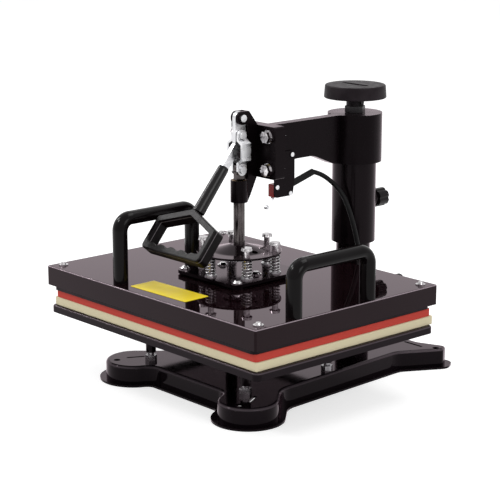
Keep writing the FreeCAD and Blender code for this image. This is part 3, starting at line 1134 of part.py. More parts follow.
def build_links():
    """The two joggled links and the lower pins on them."""
    inner = size.strap_thick / 2 + 2 * size.ear_gap
    thick, bulge, run, length = size.link_thick, size.link_bulge, size.link_bend_run, size.link_length
    low, high, half = size.link_bend_start, length - size.link_top_start, size.link_half_width
    shift = thick * math.tan(math.atan2(bulge, run) / 2)
    wrist = "sizes.pivot_z - sizes.crank_length - sizes.link_length"
    near = "(sizes.strap_thick / 2 + 2 * sizes.ear_gap)"
    pins = []
    for side, name in ((1, "link_right"), (-1, "link_left")):
        body = new_body(name)
        at(body, "0", "sizes.press_axis_y", wrist)
        profile = new_sketch(body, name + "_side", "XZ")
        wall = [(inner, -half), (inner, low), (inner + bulge, low + run), (inner + bulge, high - run),
                (inner, high), (inner, length + half)]
        slip = [0, -shift, -shift, shift, shift, 0]
        outer = [(x + thick, z + d) for (x, z), d in zip(wall, slip)]
        outline(profile, [(side * x, z, 0) for x, z in wall + outer[::-1]])
        pad(body, profile, name + "_width", "2 * sizes.link_half_width", both_ways=True)
        ends = new_sketch(body, name + "_ends", "YZ")
        corner = half * 0.96
        for grow, r in ((2, 0), (0, corner)):
            outline(ends, [(-half - grow, -half - grow, r), (half + grow, -half - grow, r),
                           (half + grow, length + half + grow, r), (-half - grow, length + half + grow, r)])
        pocket(body, ends, name + "_rounding", "60", both_ways=True)
        holes = new_sketch(body, name + "_holes", "YZ")
        round_hole(holes, "0", "0", "sizes.pin_radius")
        round_hole(holes, "0", "sizes.link_length", "sizes.pin_radius + sizes.pin_gap")
        pocket(body, holes, name + "_drilling", "60", both_ways=True)
        foot = near if side > 0 else f"-{near} - sizes.link_thick"
        cap = (f"{near} + sizes.link_thick" if side > 0
               else f"-{near} - sizes.link_thick - sizes.pin_washer_height")
        pins.append(fused(
            name + "_pin",
            rod("wrist_shank", "sizes.pin_radius", "sizes.link_thick", foot, "sizes.press_axis_y", wrist,
                TO_X),
            rod("wrist_head", "sizes.pin_head_radius", "sizes.pin_washer_height", cap,
                "sizes.press_axis_y", wrist, TO_X)))
    keep("link_pins", group("link_pins", *pins))


def build_handles():
    """The two oval-bar side handles and their screws from below the cover."""
    screws = []
    for name in ("right", "left"):
        radius, bend = size.handle_radius, size.handle_bend
        span = size.__getattr__(f"{name}_handle_span")
        top = size.__getattr__(f"{name}_handle_top") - radius
        a, b = -span / 2, span / 2
        corner = math.sqrt(0.5) * bend
        path = Part.Wire([
            Part.LineSegment(Vector(0, a, 0), Vector(0, a, top - bend)).toShape(),
            Part.Arc(Vector(0, a, top - bend), Vector(0, a + bend - corner, top - bend + corner),
                     Vector(0, a + bend, top)).toShape(),
            Part.LineSegment(Vector(0, a + bend, top), Vector(0, b - bend, top)).toShape(),
            Part.Arc(Vector(0, b - bend, top), Vector(0, b - bend + corner, top - bend + corner),
                     Vector(0, b, top - bend)).toShape(),
            Part.LineSegment(Vector(0, b, top - bend), Vector(0, b, 0)).toShape(),
        ])
        oval = Part.Ellipse(Vector(size.handle_half_width, a, 0), Vector(0, a + radius, 0), Vector(0, a, 0))
        bar = path.makePipeShell([Part.Wire(oval.toShape())], True, False)
        depth = size.handle_screw_depth
        for end in (a, b):
            bar = bar.cut(Part.makeCylinder(size.handle_screw_radius, depth, Vector(0, end, 0)))
        handle = raw(f"side_handle_{name}", bar)
        at(handle, f"sizes.{name}_handle_x", f"sizes.{name}_handle_y", "sizes.platen_top_z")
        for sy in (-1, 1):
            x = f"sizes.{name}_handle_x"
            y = f"sizes.{name}_handle_y + {sy} * sizes.{name}_handle_span / 2"
            under = "sizes.platen_top_z - sizes.cover_sheet"
            shank = rod("handle_shank", "sizes.handle_screw_radius",
                        "sizes.cover_sheet + sizes.handle_screw_depth", x, y, under)
            head = rod("handle_head", "sizes.handle_screw_head", "sizes.handle_screw_cap", x, y,
                       f"{under} - sizes.handle_screw_cap")
            screws.append(fused("handle_screw", shank, head))
    keep("handle_screws", group("handle_screws", *screws))


def build_switch():
    """The travel switch under the arm, its bracket and its roller lever."""
    body = new_body("switch_bracket")
    plane_x = "sizes.arm_half_thick"
    sketch = new_sketch(body, "bracket_side", "YZ", plane_x)
    a, b, low, top = size.bracket_front_y, size.bracket_rear_y, size.bracket_foot_z, size.bracket_top_z
    r = size.bracket_corner
    outline(sketch, [(a, low, r), (b - 3, low, r), (b, low + 20, 10), (b, top, r), (a, top, r)])
    pad(body, sketch, "bracket_plate", "sizes.bracket_thick")
    inset_text = "sizes.switch_hole_inset"
    front = f"sizes.switch_front_y + {inset_text}"
    low_z = f"sizes.switch_foot_z + {inset_text}"
    places = ((front, f"{low_z} + sizes.switch_hole_drop"), (f"{front} + sizes.switch_hole_run", low_z))
    anchors = (("sizes.bracket_rear_y - sizes.anchor_inset", "sizes.bracket_top_z - sizes.anchor_inset"),
               ("sizes.bracket_front_y + sizes.anchor_inset", "sizes.bracket_top_z - sizes.anchor_inset"))
    holes = new_sketch(body, "bracket_holes", "YZ", plane_x)
    for y, z in places + anchors:
        round_hole(holes, y, z, "sizes.switch_screw_radius")
    pocket(body, holes, "bracket_drilling", "sizes.bracket_thick", backwards=True)

    case = new_body("microswitch")
    shape = new_sketch(case, "switch_side", "YZ", plane_x)
    f, z0 = size.switch_front_y, size.switch_foot_z
    length, height = size.switch_length, size.switch_height
    outline(shape, [(f, z0, 1.2), (f + length, z0, 1.2), (f + length, z0 + height, 1.2),
                    (f, z0 + height, 1.2)])
    pad(case, shape, "switch_case", "sizes.switch_thick", backwards=True)
    drill = new_sketch(case, "switch_drill", "YZ", plane_x)
    for y, z in places:
        round_hole(drill, y, z, "sizes.switch_screw_radius")
    pocket(case, drill, "switch_drilling", "sizes.switch_thick + 1")

    screws = []
    for (y, z), long in [(p, True) for p in places] + [(p, False) for p in anchors]:
        back = "sizes.switch_thick" if long else "0"
        shank = rod("switch_shank", "sizes.switch_screw_radius", f"{back} + sizes.bracket_thick + 0.5",
                    f"sizes.arm_half_thick - {back}", y, z, TO_X)
        head = rod("switch_head", "sizes.switch_screw_radius * 2", "sizes.switch_screw_head",
                   "sizes.arm_half_thick + sizes.bracket_thick", y, z, TO_X)
        screws.append(fused("switch_screw", shank, head))
    keep("switch_screws", group("switch_screws", *screws))

    middle = "sizes.arm_half_thick - sizes.switch_thick / 2"
    angle = math.radians(size.switch_lever_angle)
    thick = size.strip_thick / 2
    start = Vector(size.switch_front_y + size.switch_hole_inset,
                   size.switch_foot_z - size.strip_eye_radius - size.sleeve_gap, 0)
    along = Vector(-math.cos(angle), -math.sin(angle), 0)
    up, tip = Vector(-along.y, along.x, 0), start + along * size.switch_lever_length
    lever = new_body("switch_lever")
    strip = new_sketch(lever, "strip_side", "YZ", middle)
    outline(strip, [(p.x, p.y, 0) for p in (start + up * thick, start - up * thick, tip - up * thick,
                                            tip + up * thick)])
    pad(lever, strip, "strip", "sizes.roller_width + sizes.fork_wall * 2", both_ways=True)
    eye = new_sketch(lever, "strip_eye", "YZ", middle)
    round_hole(eye, f"{start.x:.4f}", f"{start.y:.4f}", "sizes.strip_eye_radius")
    pad(lever, eye, "eye_roll", "sizes.roller_width + sizes.fork_wall * 2", both_ways=True)
    cheeks = new_sketch(lever, "fork_cheeks", "YZ", middle)
    round_hole(cheeks, f"{tip.x:.4f}", f"{tip.y:.4f}", "sizes.roller_radius * 0.7")
    pad(lever, cheeks, "cheeks", "sizes.roller_width + sizes.fork_wall * 2", both_ways=True)
    fork = new_sketch(lever, "fork_gap", "YZ", middle)
    round_hole(fork, f"{tip.x:.4f}", f"{tip.y:.4f}", "sizes.roller_radius + 2 * sizes.sleeve_gap")
    pocket(lever, fork, "fork_cut", "sizes.roller_width + 2 * sizes.fork_gap", both_ways=True)
    axle = new_sketch(lever, "axle", "YZ", middle)
    round_hole(axle, f"{tip.x:.4f}", f"{tip.y:.4f}", "sizes.axle_radius")
    pad(lever, axle, "axle_pin", "sizes.roller_width + sizes.fork_wall * 2", both_ways=True)
    roller = rod("roller_blank", "sizes.roller_radius", "sizes.roller_width",
                 f"{middle} - sizes.roller_width / 2",
                 f"{tip.x:.4f}", f"{tip.y:.4f}", TO_X)
    hole = rod("roller_hole", "sizes.axle_radius + sizes.axle_gap", "sizes.roller_width + 2",
               f"{middle} - sizes.roller_width / 2 - 1", f"{tip.x:.4f}", f"{tip.y:.4f}", TO_X)
    keep("switch_roller", cut("switch_roller", roller, hole))
    print(f"switch lever pivot y {start.x:.2f} z {start.y:.2f}, roller y {tip.x:.2f} z {tip.y:.2f}")


def cord_path(points, radius):
    """Straight runs joined by tangent arcs, and the tightest radius among them."""
    runs = [(points[n + 1] - points[n]).Length for n in range(len(points) - 1)]
    edges, start, radii = [], points[0], []
    for n in range(1, len(points) - 1):
        here = points[n]
        back, on = (points[n - 1] - here).normalize(), (points[n + 1] - here).normalize()
        half_turn = (math.pi - back.getAngle(on)) / 2
        reach = 0.45 * min(runs[n - 1], runs[n])
        bend = reach / math.tan(half_turn)
        radii.append(bend)
        a, b = here + back * reach, here + on * reach
        inward = (back + on).normalize()
        centre_gap = bend / math.cos(half_turn)
        middle = here + inward * (centre_gap - bend)
        edges.append(Part.LineSegment(start, a).toShape())
        edges.append(Part.Arc(a, middle, b).toShape())
        start = b
    edges.append(Part.LineSegment(start, points[-1]).toShape())
    wire = Part.Wire(edges)
    ring = Part.Wire(Part.Circle(points[0], points[1] - points[0], radius).toShape())
    tube = wire.makePipeShell([ring], True, False)
    share = tube.Volume / (math.pi * radius ** 2 * wire.Length)
    return tube, wire.Length, radii, share


# Where the lead hangs, from its stiff sleeve down beside the post to the connector.
LEAD_BENDS = (
    (2.6, 68.0, 249.5), (6.0, 87.0, 236.0), (16.0, 96.5, 220.0), (25.0, 99.0, 201.0),
    (31.0, 101.0, 182.0), (35.0, 103.5, 162.0), (36.6, 107.0, 142.0), (36.6, 111.0, 122.0),
    (35.2, 115.0, 102.0), (34.2, 117.0, 84.0),
)


def build_lead():
    """The switch's own lead: a stiff sleeve, the free cord and its screw-ring connector."""
    x0 = size.arm_half_thick - size.switch_thick / 2
    exit_y = size.switch_front_y + size.switch_length
    exit_z = size.switch_foot_z + size.switch_height * 0.75
    rise = Vector(0, size.lead_rise_y, size.lead_rise_z)
    start = Vector(x0, exit_y, exit_z)
    turn_in = start + Vector(0, size.lead_stub, 0)
    sleeve_end = turn_in + rise
    sleeve = cord_path([start, turn_in, sleeve_end], size.lead_sleeve_radius)[0]
    raw("lead_sleeve", sleeve)
    bends = [Vector(*bend) for bend in LEAD_BENDS]
    tucked = sleeve_end - (bends[0] - sleeve_end).normalize() * size.lead_tuck
    route = [tucked] + bends
    cord, length, radii, share = cord_path(route, size.lead_radius)
    print(f"lead: length {length:.1f} mm, radii " + " ".join(f"{r:.0f}" for r in radii)
          + f", volume share {share:.4f}")
    raw("switch_lead", cord.cut(sleeve))
    end = route[-1]
    way = (route[-1] - route[-2]).normalize()
    ring = Part.makeCylinder(size.plug_radius, size.plug_length, end, way)
    waist = Part.makeCylinder(size.plug_radius * 0.8, size.plug_length * 0.3, end, way)
    lip = ring.cut(Part.makeCylinder(size.plug_radius * 2, size.plug_length * 0.3, end, way))
    raw("lead_connector", waist.fuse(lip).removeSplitter())


build_base()
build_column()
build_tray()
build_platen()
build_spring_pack()
build_rod()
build_head()
build_arm()
build_pressure_screw()
build_lock()
build_lever()
build_links()
build_handles()
build_switch()
build_lead()
doc.recompute()

faults = [o.Label for o in doc.Objects if {"Invalid", "Error"} & set(o.State)]
for label, piece in pieces.items():
    shape = piece.Shape
    if shape.isNull() or not shape.isValid() or not shape.Solids:
        faults.append(label)
if faults:
    raise RuntimeError("faulty objects: " + ", ".join(faults))

for label, piece in pieces.items():
    piece.Shape.exportStep(f"parts/{label}.step")
print(f"{len(pieces)} sub-parts")
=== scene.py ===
"""Dresses the frame of a swing-away heat press: finishes, soft goods, springs, lead and trim."""
from __future__ import annotations

import logging
import math
from dataclasses import dataclass
from enum import Enum

import bpy
import numpy as np
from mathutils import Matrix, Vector


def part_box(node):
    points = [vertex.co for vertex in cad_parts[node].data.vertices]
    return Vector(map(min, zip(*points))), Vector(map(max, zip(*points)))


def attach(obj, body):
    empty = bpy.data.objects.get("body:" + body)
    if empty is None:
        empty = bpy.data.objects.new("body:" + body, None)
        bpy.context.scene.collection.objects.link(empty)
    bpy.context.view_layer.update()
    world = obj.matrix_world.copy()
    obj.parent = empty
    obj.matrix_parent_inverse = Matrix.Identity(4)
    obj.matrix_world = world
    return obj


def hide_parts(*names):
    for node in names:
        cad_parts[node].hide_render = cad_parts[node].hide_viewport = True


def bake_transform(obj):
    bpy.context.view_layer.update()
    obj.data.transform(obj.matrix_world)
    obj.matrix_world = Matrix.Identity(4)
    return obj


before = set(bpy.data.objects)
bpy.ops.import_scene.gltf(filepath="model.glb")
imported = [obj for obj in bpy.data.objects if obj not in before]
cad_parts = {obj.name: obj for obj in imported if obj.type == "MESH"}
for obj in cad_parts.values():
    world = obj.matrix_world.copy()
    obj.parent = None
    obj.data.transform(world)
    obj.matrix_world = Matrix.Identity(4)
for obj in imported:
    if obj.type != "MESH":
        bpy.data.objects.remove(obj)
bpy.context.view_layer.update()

log = logging.getLogger("heat_press")
Colour = tuple[float, float, float]
Point = tuple[float, float, float]
Profile = list[tuple[float, float]]
Shell = tuple[np.ndarray, list[np.ndarray]]
Socket = bpy.types.NodeSocket
MM = 0.001
# The lever's lean from upright, and where painted shade and painted highlight lines run along
# its grip's side walls, measured square to the grip.
GRIP_LAY = math.radians(39.7)
GRIP_LIGHT_LINES = (-250.6 * MM, -249.4 * MM, -248.2 * MM)
# A ripple's three sines: how many waves each has round the outline, and its lag in radians.
RIPPLE_WAVES = ((37, 0.0), (61, 1.3), (113, 0.7))
# Points along a slab's straight side for each one on a corner's quarter circle.
SIDE_TO_CORNER = 6


class Graph:
    """A short way to write the node graph of one material."""

    def __init__(self, name: str) -> None:
        """Starts a material.

        Args:
            name: the material's name.
        """
        self.material = bpy.data.materials.new(name)
        self.material.use_nodes = True
        self.tree = self.material.node_tree
        self.shader = self.tree.nodes["Principled BSDF"]
        self.place = self.tree.nodes.new("ShaderNodeTexCoord").outputs["Object"]

    def node(self, kind: str, inputs: dict[str | int, object] | None = None,
             **settings: object) -> bpy.types.Node:
        """Adds a node.

        Args:
            kind: the node's type without its common prefix.
            inputs: a value or an output socket for each named or numbered input.
            **settings: the node's own properties.

        Returns:
            The new node.
        """
        made = self.tree.nodes.new("ShaderNode" + kind)
        for key, value in settings.items():
            setattr(made, key, value)
        for key, value in (inputs or {}).items():
            if isinstance(value, Socket):
                self.tree.links.new(value, made.inputs[key])
            else:
                made.inputs[key].default_value = value
        return made

    def noise(self, scale: float, detail: float, stretch: Point = (1, 1, 1)) -> Socket:
        """Adds noise on the object's own coordinates.

        Args:
            scale: grains per metre.
            detail: octaves.
            stretch: factors on the three axes, small along a grain.

        Returns:
            A socket that runs from 0 to 1.
        """
        spot = self.node("Mapping", {"Vector": self.place, "Scale": stretch}).outputs["Vector"]
        made = self.node("TexNoise", {"Vector": spot, "Scale": scale, "Detail": detail})
        return made.outputs["Fac"]

    def span(self, value: Socket, low: float, high: float,
             start: float = 0.3, end: float = 0.7) -> Socket:
        """Carries a value from start..end over to low..high, and holds it beyond.

        Args:
            value: the socket to carry over.
            low: the result at start.
            high: the result at end.
            start: the value that gives low.
            end: the value that gives high.

        Returns:
            The result's socket.
        """
        return self.node("MapRange", {"Value": value, "From Min": start, "From Max": end,
                                      "To Min": low, "To Max": high}).outputs["Result"]

    def blend(self, share: Socket, low: Colour, high: Colour) -> Socket:
        """Runs from one colour to another.

        Args:
            share: 0 for the first colour and 1 for the second.
            low: the first colour, linear.
            high: the second colour, linear.

        Returns:
            The colour's socket.
        """
        ramp = self.node("ValToRGB", {"Fac": share})
        ramp.color_ramp.elements[0].color = (*low, 1)
        ramp.color_ramp.elements[1].color = (*high, 1)
        return ramp.outputs["Color"]

    def calculate(self, operation: str, *values: Socket | float) -> Socket:
        """Works out one step of arithmetic.

        Args:
            operation: the step's name, such as MULTIPLY, or COMPARE for a band round a value.
            *values: its sockets or numbers.

        Returns:
            The result's socket.
        """
        return self.node("Math", dict(enumerate(values)), operation=operation).outputs[0]

    def over(self, share: Socket, below: Socket, colour: Colour) -> Socket:
        """Lays a plain colour over what is below.

        Args:
            share: 0 to keep what is below and 1 for the colour.
            below: a colour's socket.
            colour: the colour on top, linear.

        Returns:
            The colour's socket.
        """
        return self.node("Mix", {0: share, 6: below, 7: (*colour, 1)}, data_type="RGBA").outputs[2]

    def bump(self, height: Socket, depth: float, under: Socket | None = None) -> Socket:
        """Tilts the surface by a height.

        Args:
            height: 0 to 1.
            depth: metres between the two.
            under: a normal to build on.

        Returns:
            The normal's socket.
        """
        made = self.node("Bump", {"Height": height, "Distance": depth, "Strength": 1.0})
        if under is not None:
            self.tree.links.new(under, made.inputs["Normal"])
        return made.outputs["Normal"]

    def set(self, **inputs: Socket | Colour | float) -> bpy.types.Material:
        """Sets the shader's inputs, named with underscores for spaces.

        Args:
            **inputs: values or sockets.

        Returns:
            The material.
        """
        for key, value in inputs.items():
            name = "Specular IOR Level" if key == "Specular" else key.replace("_", " ")
            if isinstance(value, Socket):
                self.tree.links.new(value, self.shader.inputs[name])
            elif isinstance(value, tuple):
                self.shader.inputs[name].default_value = (*value, 1)
            else:
                self.shader.inputs[name].default_value = value
        return self.material


@dataclass(frozen=True)
class Paint:
    """Stoved gloss enamel: a deep colour, cloudy gloss, orange peel and a few specks of dirt.

    The film is a thin clear coat that tints what the enamel mirrors. A rim is a pale colour painted
    along bends as a painted highlight, where lamps would glint on rounded edges. Peel and cast are
    the depths of the orange peel and of a casting's pits. Cloud, dust, polish, grain and pits are
    grains per metre: of the colour's clouds, the specks, the gloss, the orange peel and the pits.
    """

    name: str
    colour: Colour = (0.0022, 0.0014, 0.0018)
    lift: Colour = (0.0040, 0.0027, 0.0033)
    dirt: Colour = (0.035, 0.032, 0.033)
    roughness: float = 0.12
    specular: float = 0.08
    tint: Colour = (1.0, 0.88, 0.94)
    film: Colour = (1.0, 0.925, 0.960)
    film_ior: float = 1.05
    peel: float = 0.01 * MM
    cast: float = 0.0
    rim: Colour | None = None
    cloud: float = 9.0
    dust: float = 1500.0
    polish: float = 34.0
    grain: float = 260.0
    pits: float = 900.0

    def bends(self, graph: Graph) -> Socket:
        """Finds the bends between upright and level faces, from how far the normal points up.

        Args:
            graph: the material's graph.

        Returns:
            A socket that is 1 on a bend and 0 on upright and level faces.
        """
        normal = graph.node("NewGeometry").outputs["Normal"]
        up = graph.node("SeparateXYZ", {0: normal}).outputs["Z"]
        leaning = graph.span(up, 0.0, 1.0, 0.15, 0.45)
        sloping = graph.span(up, 1.0, 0.0, 0.75, 0.96)
        return graph.calculate("MULTIPLY", leaning, sloping)

    def material(self) -> bpy.types.Material:
        """Builds the enamel.

        Returns:
            The material.
        """
        graph = Graph(self.name)
        cloud = graph.span(graph.noise(self.cloud, 3.0), 0.0, 1.0)
        specks = graph.span(graph.noise(self.dust, 1.0), 0.0, 1.0, 0.74, 0.80)
        paint = graph.over(specks, graph.blend(cloud, self.colour, self.lift), self.dirt)
        # The rim is a painted highlight laid over the bends.
        if self.rim:
            paint = graph.over(self.bends(graph), paint, self.rim)
        gloss = graph.noise(self.polish, 5.0)
        relief = graph.bump(graph.noise(self.grain, 2.0), self.peel)
        if self.cast:
            relief = graph.bump(graph.noise(self.pits, 6.0), self.cast, relief)
        return graph.set(Base_Color=paint, Normal=relief,
                         Roughness=graph.span(gloss, self.roughness * 0.8, self.roughness * 1.35),
                         Specular=self.specular, Specular_Tint=self.tint,
                         Coat_Weight=1.0, Coat_IOR=self.film_ior, Coat_Roughness=self.roughness,
                         Coat_Tint=self.film)


@dataclass(frozen=True)
class Metal:
    """Bare or plated metal: fine scratches along a grain, dulled patches and a faint tint.

    Scratch is the scratches' depth, and grain draws them out along the axis of its small factor.
    Pitch, patch and dull are grains per metre: of the scratches, the colour's patches and the
    dulled ones. On chrome and spring wire the colour's dark patches are painted reflections.
    """

    name: str
    colour: Colour
    shade: Colour
    roughness: float
    scratch: float = 0.004 * MM
    grain: Point = (1.0, 1.0, 1.0)
    pitch: float = 900.0
    patch: float = 70.0
    dull: float = 160.0

    def material(self) -> bpy.types.Material:
        """Builds the metal.

        Returns:
            The material.
        """
        graph = Graph(self.name)
        # Colour patches: random tone on most metals, and painted dark reflections on chrome and
        # spring wire.
        patches = graph.span(graph.noise(self.patch, 5.0), 0.0, 1.0)
        dulled = graph.noise(self.dull, 4.0)
        scratches = graph.noise(self.pitch, 2.0, self.grain)
        return graph.set(Base_Color=graph.blend(patches, self.shade, self.colour), Metallic=1.0,
                         Roughness=graph.span(dulled, self.roughness * 0.75, self.roughness * 1.5),
                         Normal=graph.bump(scratches, self.scratch))


@dataclass(frozen=True)
class Plastic:
    """Moulded plastic or rubber: spark-eroded grain, paler where handled; on the sleeve, painted
    highlight streaks.

    Texture is the grain's depth. Grain, rub and smear are grains per metre: of the texture, the
    pale patches and the gloss. The lay turns the patches about the X axis, and a streak draws
    them out along the turned Z, which on the sleeve makes painted highlight streaks. The steps
    are painted shade and painted highlight lines by turns, standing in for the light on a side
    wall's groove and bevel, each at its own distance along the turned Y. The painted slot shade
    is a dark bar of painted shade where the mark's slot lies in shadow: half width, half depth
    and middle's y.
    """

    name: str
    colour: Colour
    worn_and_streak_highlight: Colour
    roughness: float
    texture: float = 0.03 * MM
    grain: float = 1400.0
    rub_and_streak: float = 45.0
    smear: float = 120.0
    specular: float = 0.12
    lay: float = 0.0
    streak: float = 1.0
    steps: tuple[float, ...] = ()
    step_half: float = 0.55 * MM
    painted_groove_shade: Colour = (0.0012, 0.0010, 0.0011)
    painted_edge_highlight: Colour = (0.17, 0.15, 0.16)
    painted_slot_shade: tuple[float, float, float] | None = None
    painted_slot_shade_colour: Colour = (0.0015, 0.0012, 0.0014)

    def lined(self, graph: Graph, spot: Socket, tint: Socket) -> Socket:
        """Paints the steps' lines of painted shade and painted highlight, each a band round its
        distance.

        Args:
            graph: the material's graph.
            spot: the turned coordinates.
            tint: the colour below.

        Returns:
            The colour's socket.
        """
        deep = graph.node("SeparateXYZ", {0: spot}).outputs["Y"]
        # Dark lines are painted shade and pale lines painted highlight, by turns.
        for n, step in enumerate(self.steps):
            line = graph.calculate("COMPARE", deep, step, self.step_half)
            tint = graph.over(line, tint, self.painted_edge_highlight if n % 2 else self.painted_groove_shade)
        return tint

    def paint_slot_shade(self, graph: Graph, tint: Socket) -> Socket:
        """Paints shade into the mark's slot: a dark bar where a band in x and a band in y meet.

        Args:
            graph: the material's graph.
            tint: the colour below.

        Returns:
            The colour's socket.
        """
        half_x, half_y, middle = self.painted_slot_shade
        place = graph.node("SeparateXYZ", {0: graph.place}).outputs
        across = graph.calculate("COMPARE", place["X"], 0.0, half_x)
        along = graph.calculate("COMPARE", place["Y"], middle, half_y)
        return graph.over(graph.calculate("MULTIPLY", across, along), tint, self.painted_slot_shade_colour)

    def material(self) -> bpy.types.Material:
        """Builds the moulding's finish.

        Returns:
            The material.
        """
        graph = Graph(self.name)
        spot = graph.node("Mapping", {"Vector": graph.place, "Rotation": (-self.lay, 0.0, 0.0),
                                      "Scale": (1.0, 1.0, self.streak)},
                          vector_type="TEXTURE").outputs["Vector"]
        # Pale patches: wear on most mouldings, and long painted highlight streaks on the sleeve.
        drawn = graph.node("TexNoise", {"Vector": spot, "Scale": self.rub_and_streak, "Detail": 6.0})
        rubbed_and_streaked = graph.span(drawn.outputs["Fac"], 0.0, 1.0, 0.42, 0.72)
        tint = self.lined(graph, spot, graph.blend(rubbed_and_streaked, self.colour, self.worn_and_streak_highlight))
        # Painted shade on the floor of the knob's mark slot.
        if self.painted_slot_shade:
            tint = self.paint_slot_shade(graph, tint)
        gloss = graph.noise(self.smear, 3.0)
        return graph.set(Base_Color=tint, Specular=self.specular,
                         Roughness=graph.span(gloss, self.roughness * 0.85, self.roughness * 1.15),
                         Normal=graph.bump(graph.noise(self.grain, 4.0), self.texture))


@dataclass(frozen=True)
class Felt:
    """Needled felt: matted fibres, layers that show on the cut edge, and a soft sheen.

    Fibre, clump and layer are grains per metre; fuzz and lump are the fibres' and clumps' depths.
    """

    name: str
    colour: Colour
    shade: Colour
    fibre: float = 2600.0
    clump: float = 150.0
    layer: float = 520.0
    fuzz: float = 0.25 * MM
    lump: float = 0.3 * MM

    def material(self) -> bpy.types.Material:
        """Builds the felt.

        Returns:
            The material.
        """
        graph = Graph(self.name)
        fibres = graph.noise(self.fibre, 6.0, (1.0, 1.0, 0.55))
        clumps = graph.noise(self.clump, 4.0, (1.0, 1.0, 2.2))
        layers = graph.noise(self.layer, 2.0, (0.05, 0.05, 1.0))
        mixed = graph.span(graph.calculate("MULTIPLY", clumps, layers), 0.0, 1.0, 0.14, 0.34)
        return graph.set(Base_Color=graph.blend(mixed, self.shade, self.colour), Roughness=0.95,
                         Normal=graph.bump(fibres, self.fuzz, graph.bump(clumps, self.lump)),
                         Sheen_Weight=0.25, Specular=0.15)


@dataclass(frozen=True)
class Sponge:
    """Foamed silicone: a fine closed skin with small pores on the cut edge.

    Pore and cloud are grains per metre; pit and swell are the pores' and clouds' depths.
    """

    name: str
    colour: Colour
    shade: Colour
    pore: float = 1300.0
    cloud: float = 60.0
    pit: float = 0.08 * MM
    swell: float = 0.1 * MM

    def material(self) -> bpy.types.Material:
        """Builds the silicone.

        Returns:
            The material.
        """
        graph = Graph(self.name)
        cells = graph.node("TexVoronoi", {"Vector": graph.place, "Scale": self.pore})
        pores = graph.span(cells.outputs["Distance"], 0.0, 1.0, 0.05, 0.5)
        cloud = graph.noise(self.cloud, 4.0)
        tint = graph.blend(graph.span(cloud, 0.0, 1.0), self.shade, self.colour)
        return graph.set(Base_Color=tint, Roughness=0.62, Specular=0.12,
                         Normal=graph.bump(pores, self.pit, graph.bump(cloud, self.swell)))


@dataclass(frozen=True)
class Weave:
    """A woven glass blanket: waves along x and along y, multiplied.

    Threads is the waves' scale, and relief is their depth.
    """

    name: str
    colour: Colour
    shade: Colour
    threads: float = 260.0
    relief: float = 0.2 * MM

    def material(self) -> bpy.types.Material:
        """Builds the blanket.

        Returns:
            The material.
        """
        graph = Graph(self.name)
        waves = {"Vector": graph.place, "Scale": self.threads}
        warp = graph.node("TexWave", waves, bands_direction="X").outputs["Fac"]
        weft = graph.node("TexWave", waves, bands_direction="Y").outputs["Fac"]
        cross = graph.calculate("MULTIPLY", warp, weft)
        return graph.set(Base_Color=graph.blend(cross, self.shade, self.colour), Roughness=0.9,
                         Normal=graph.bump(cross, self.relief))


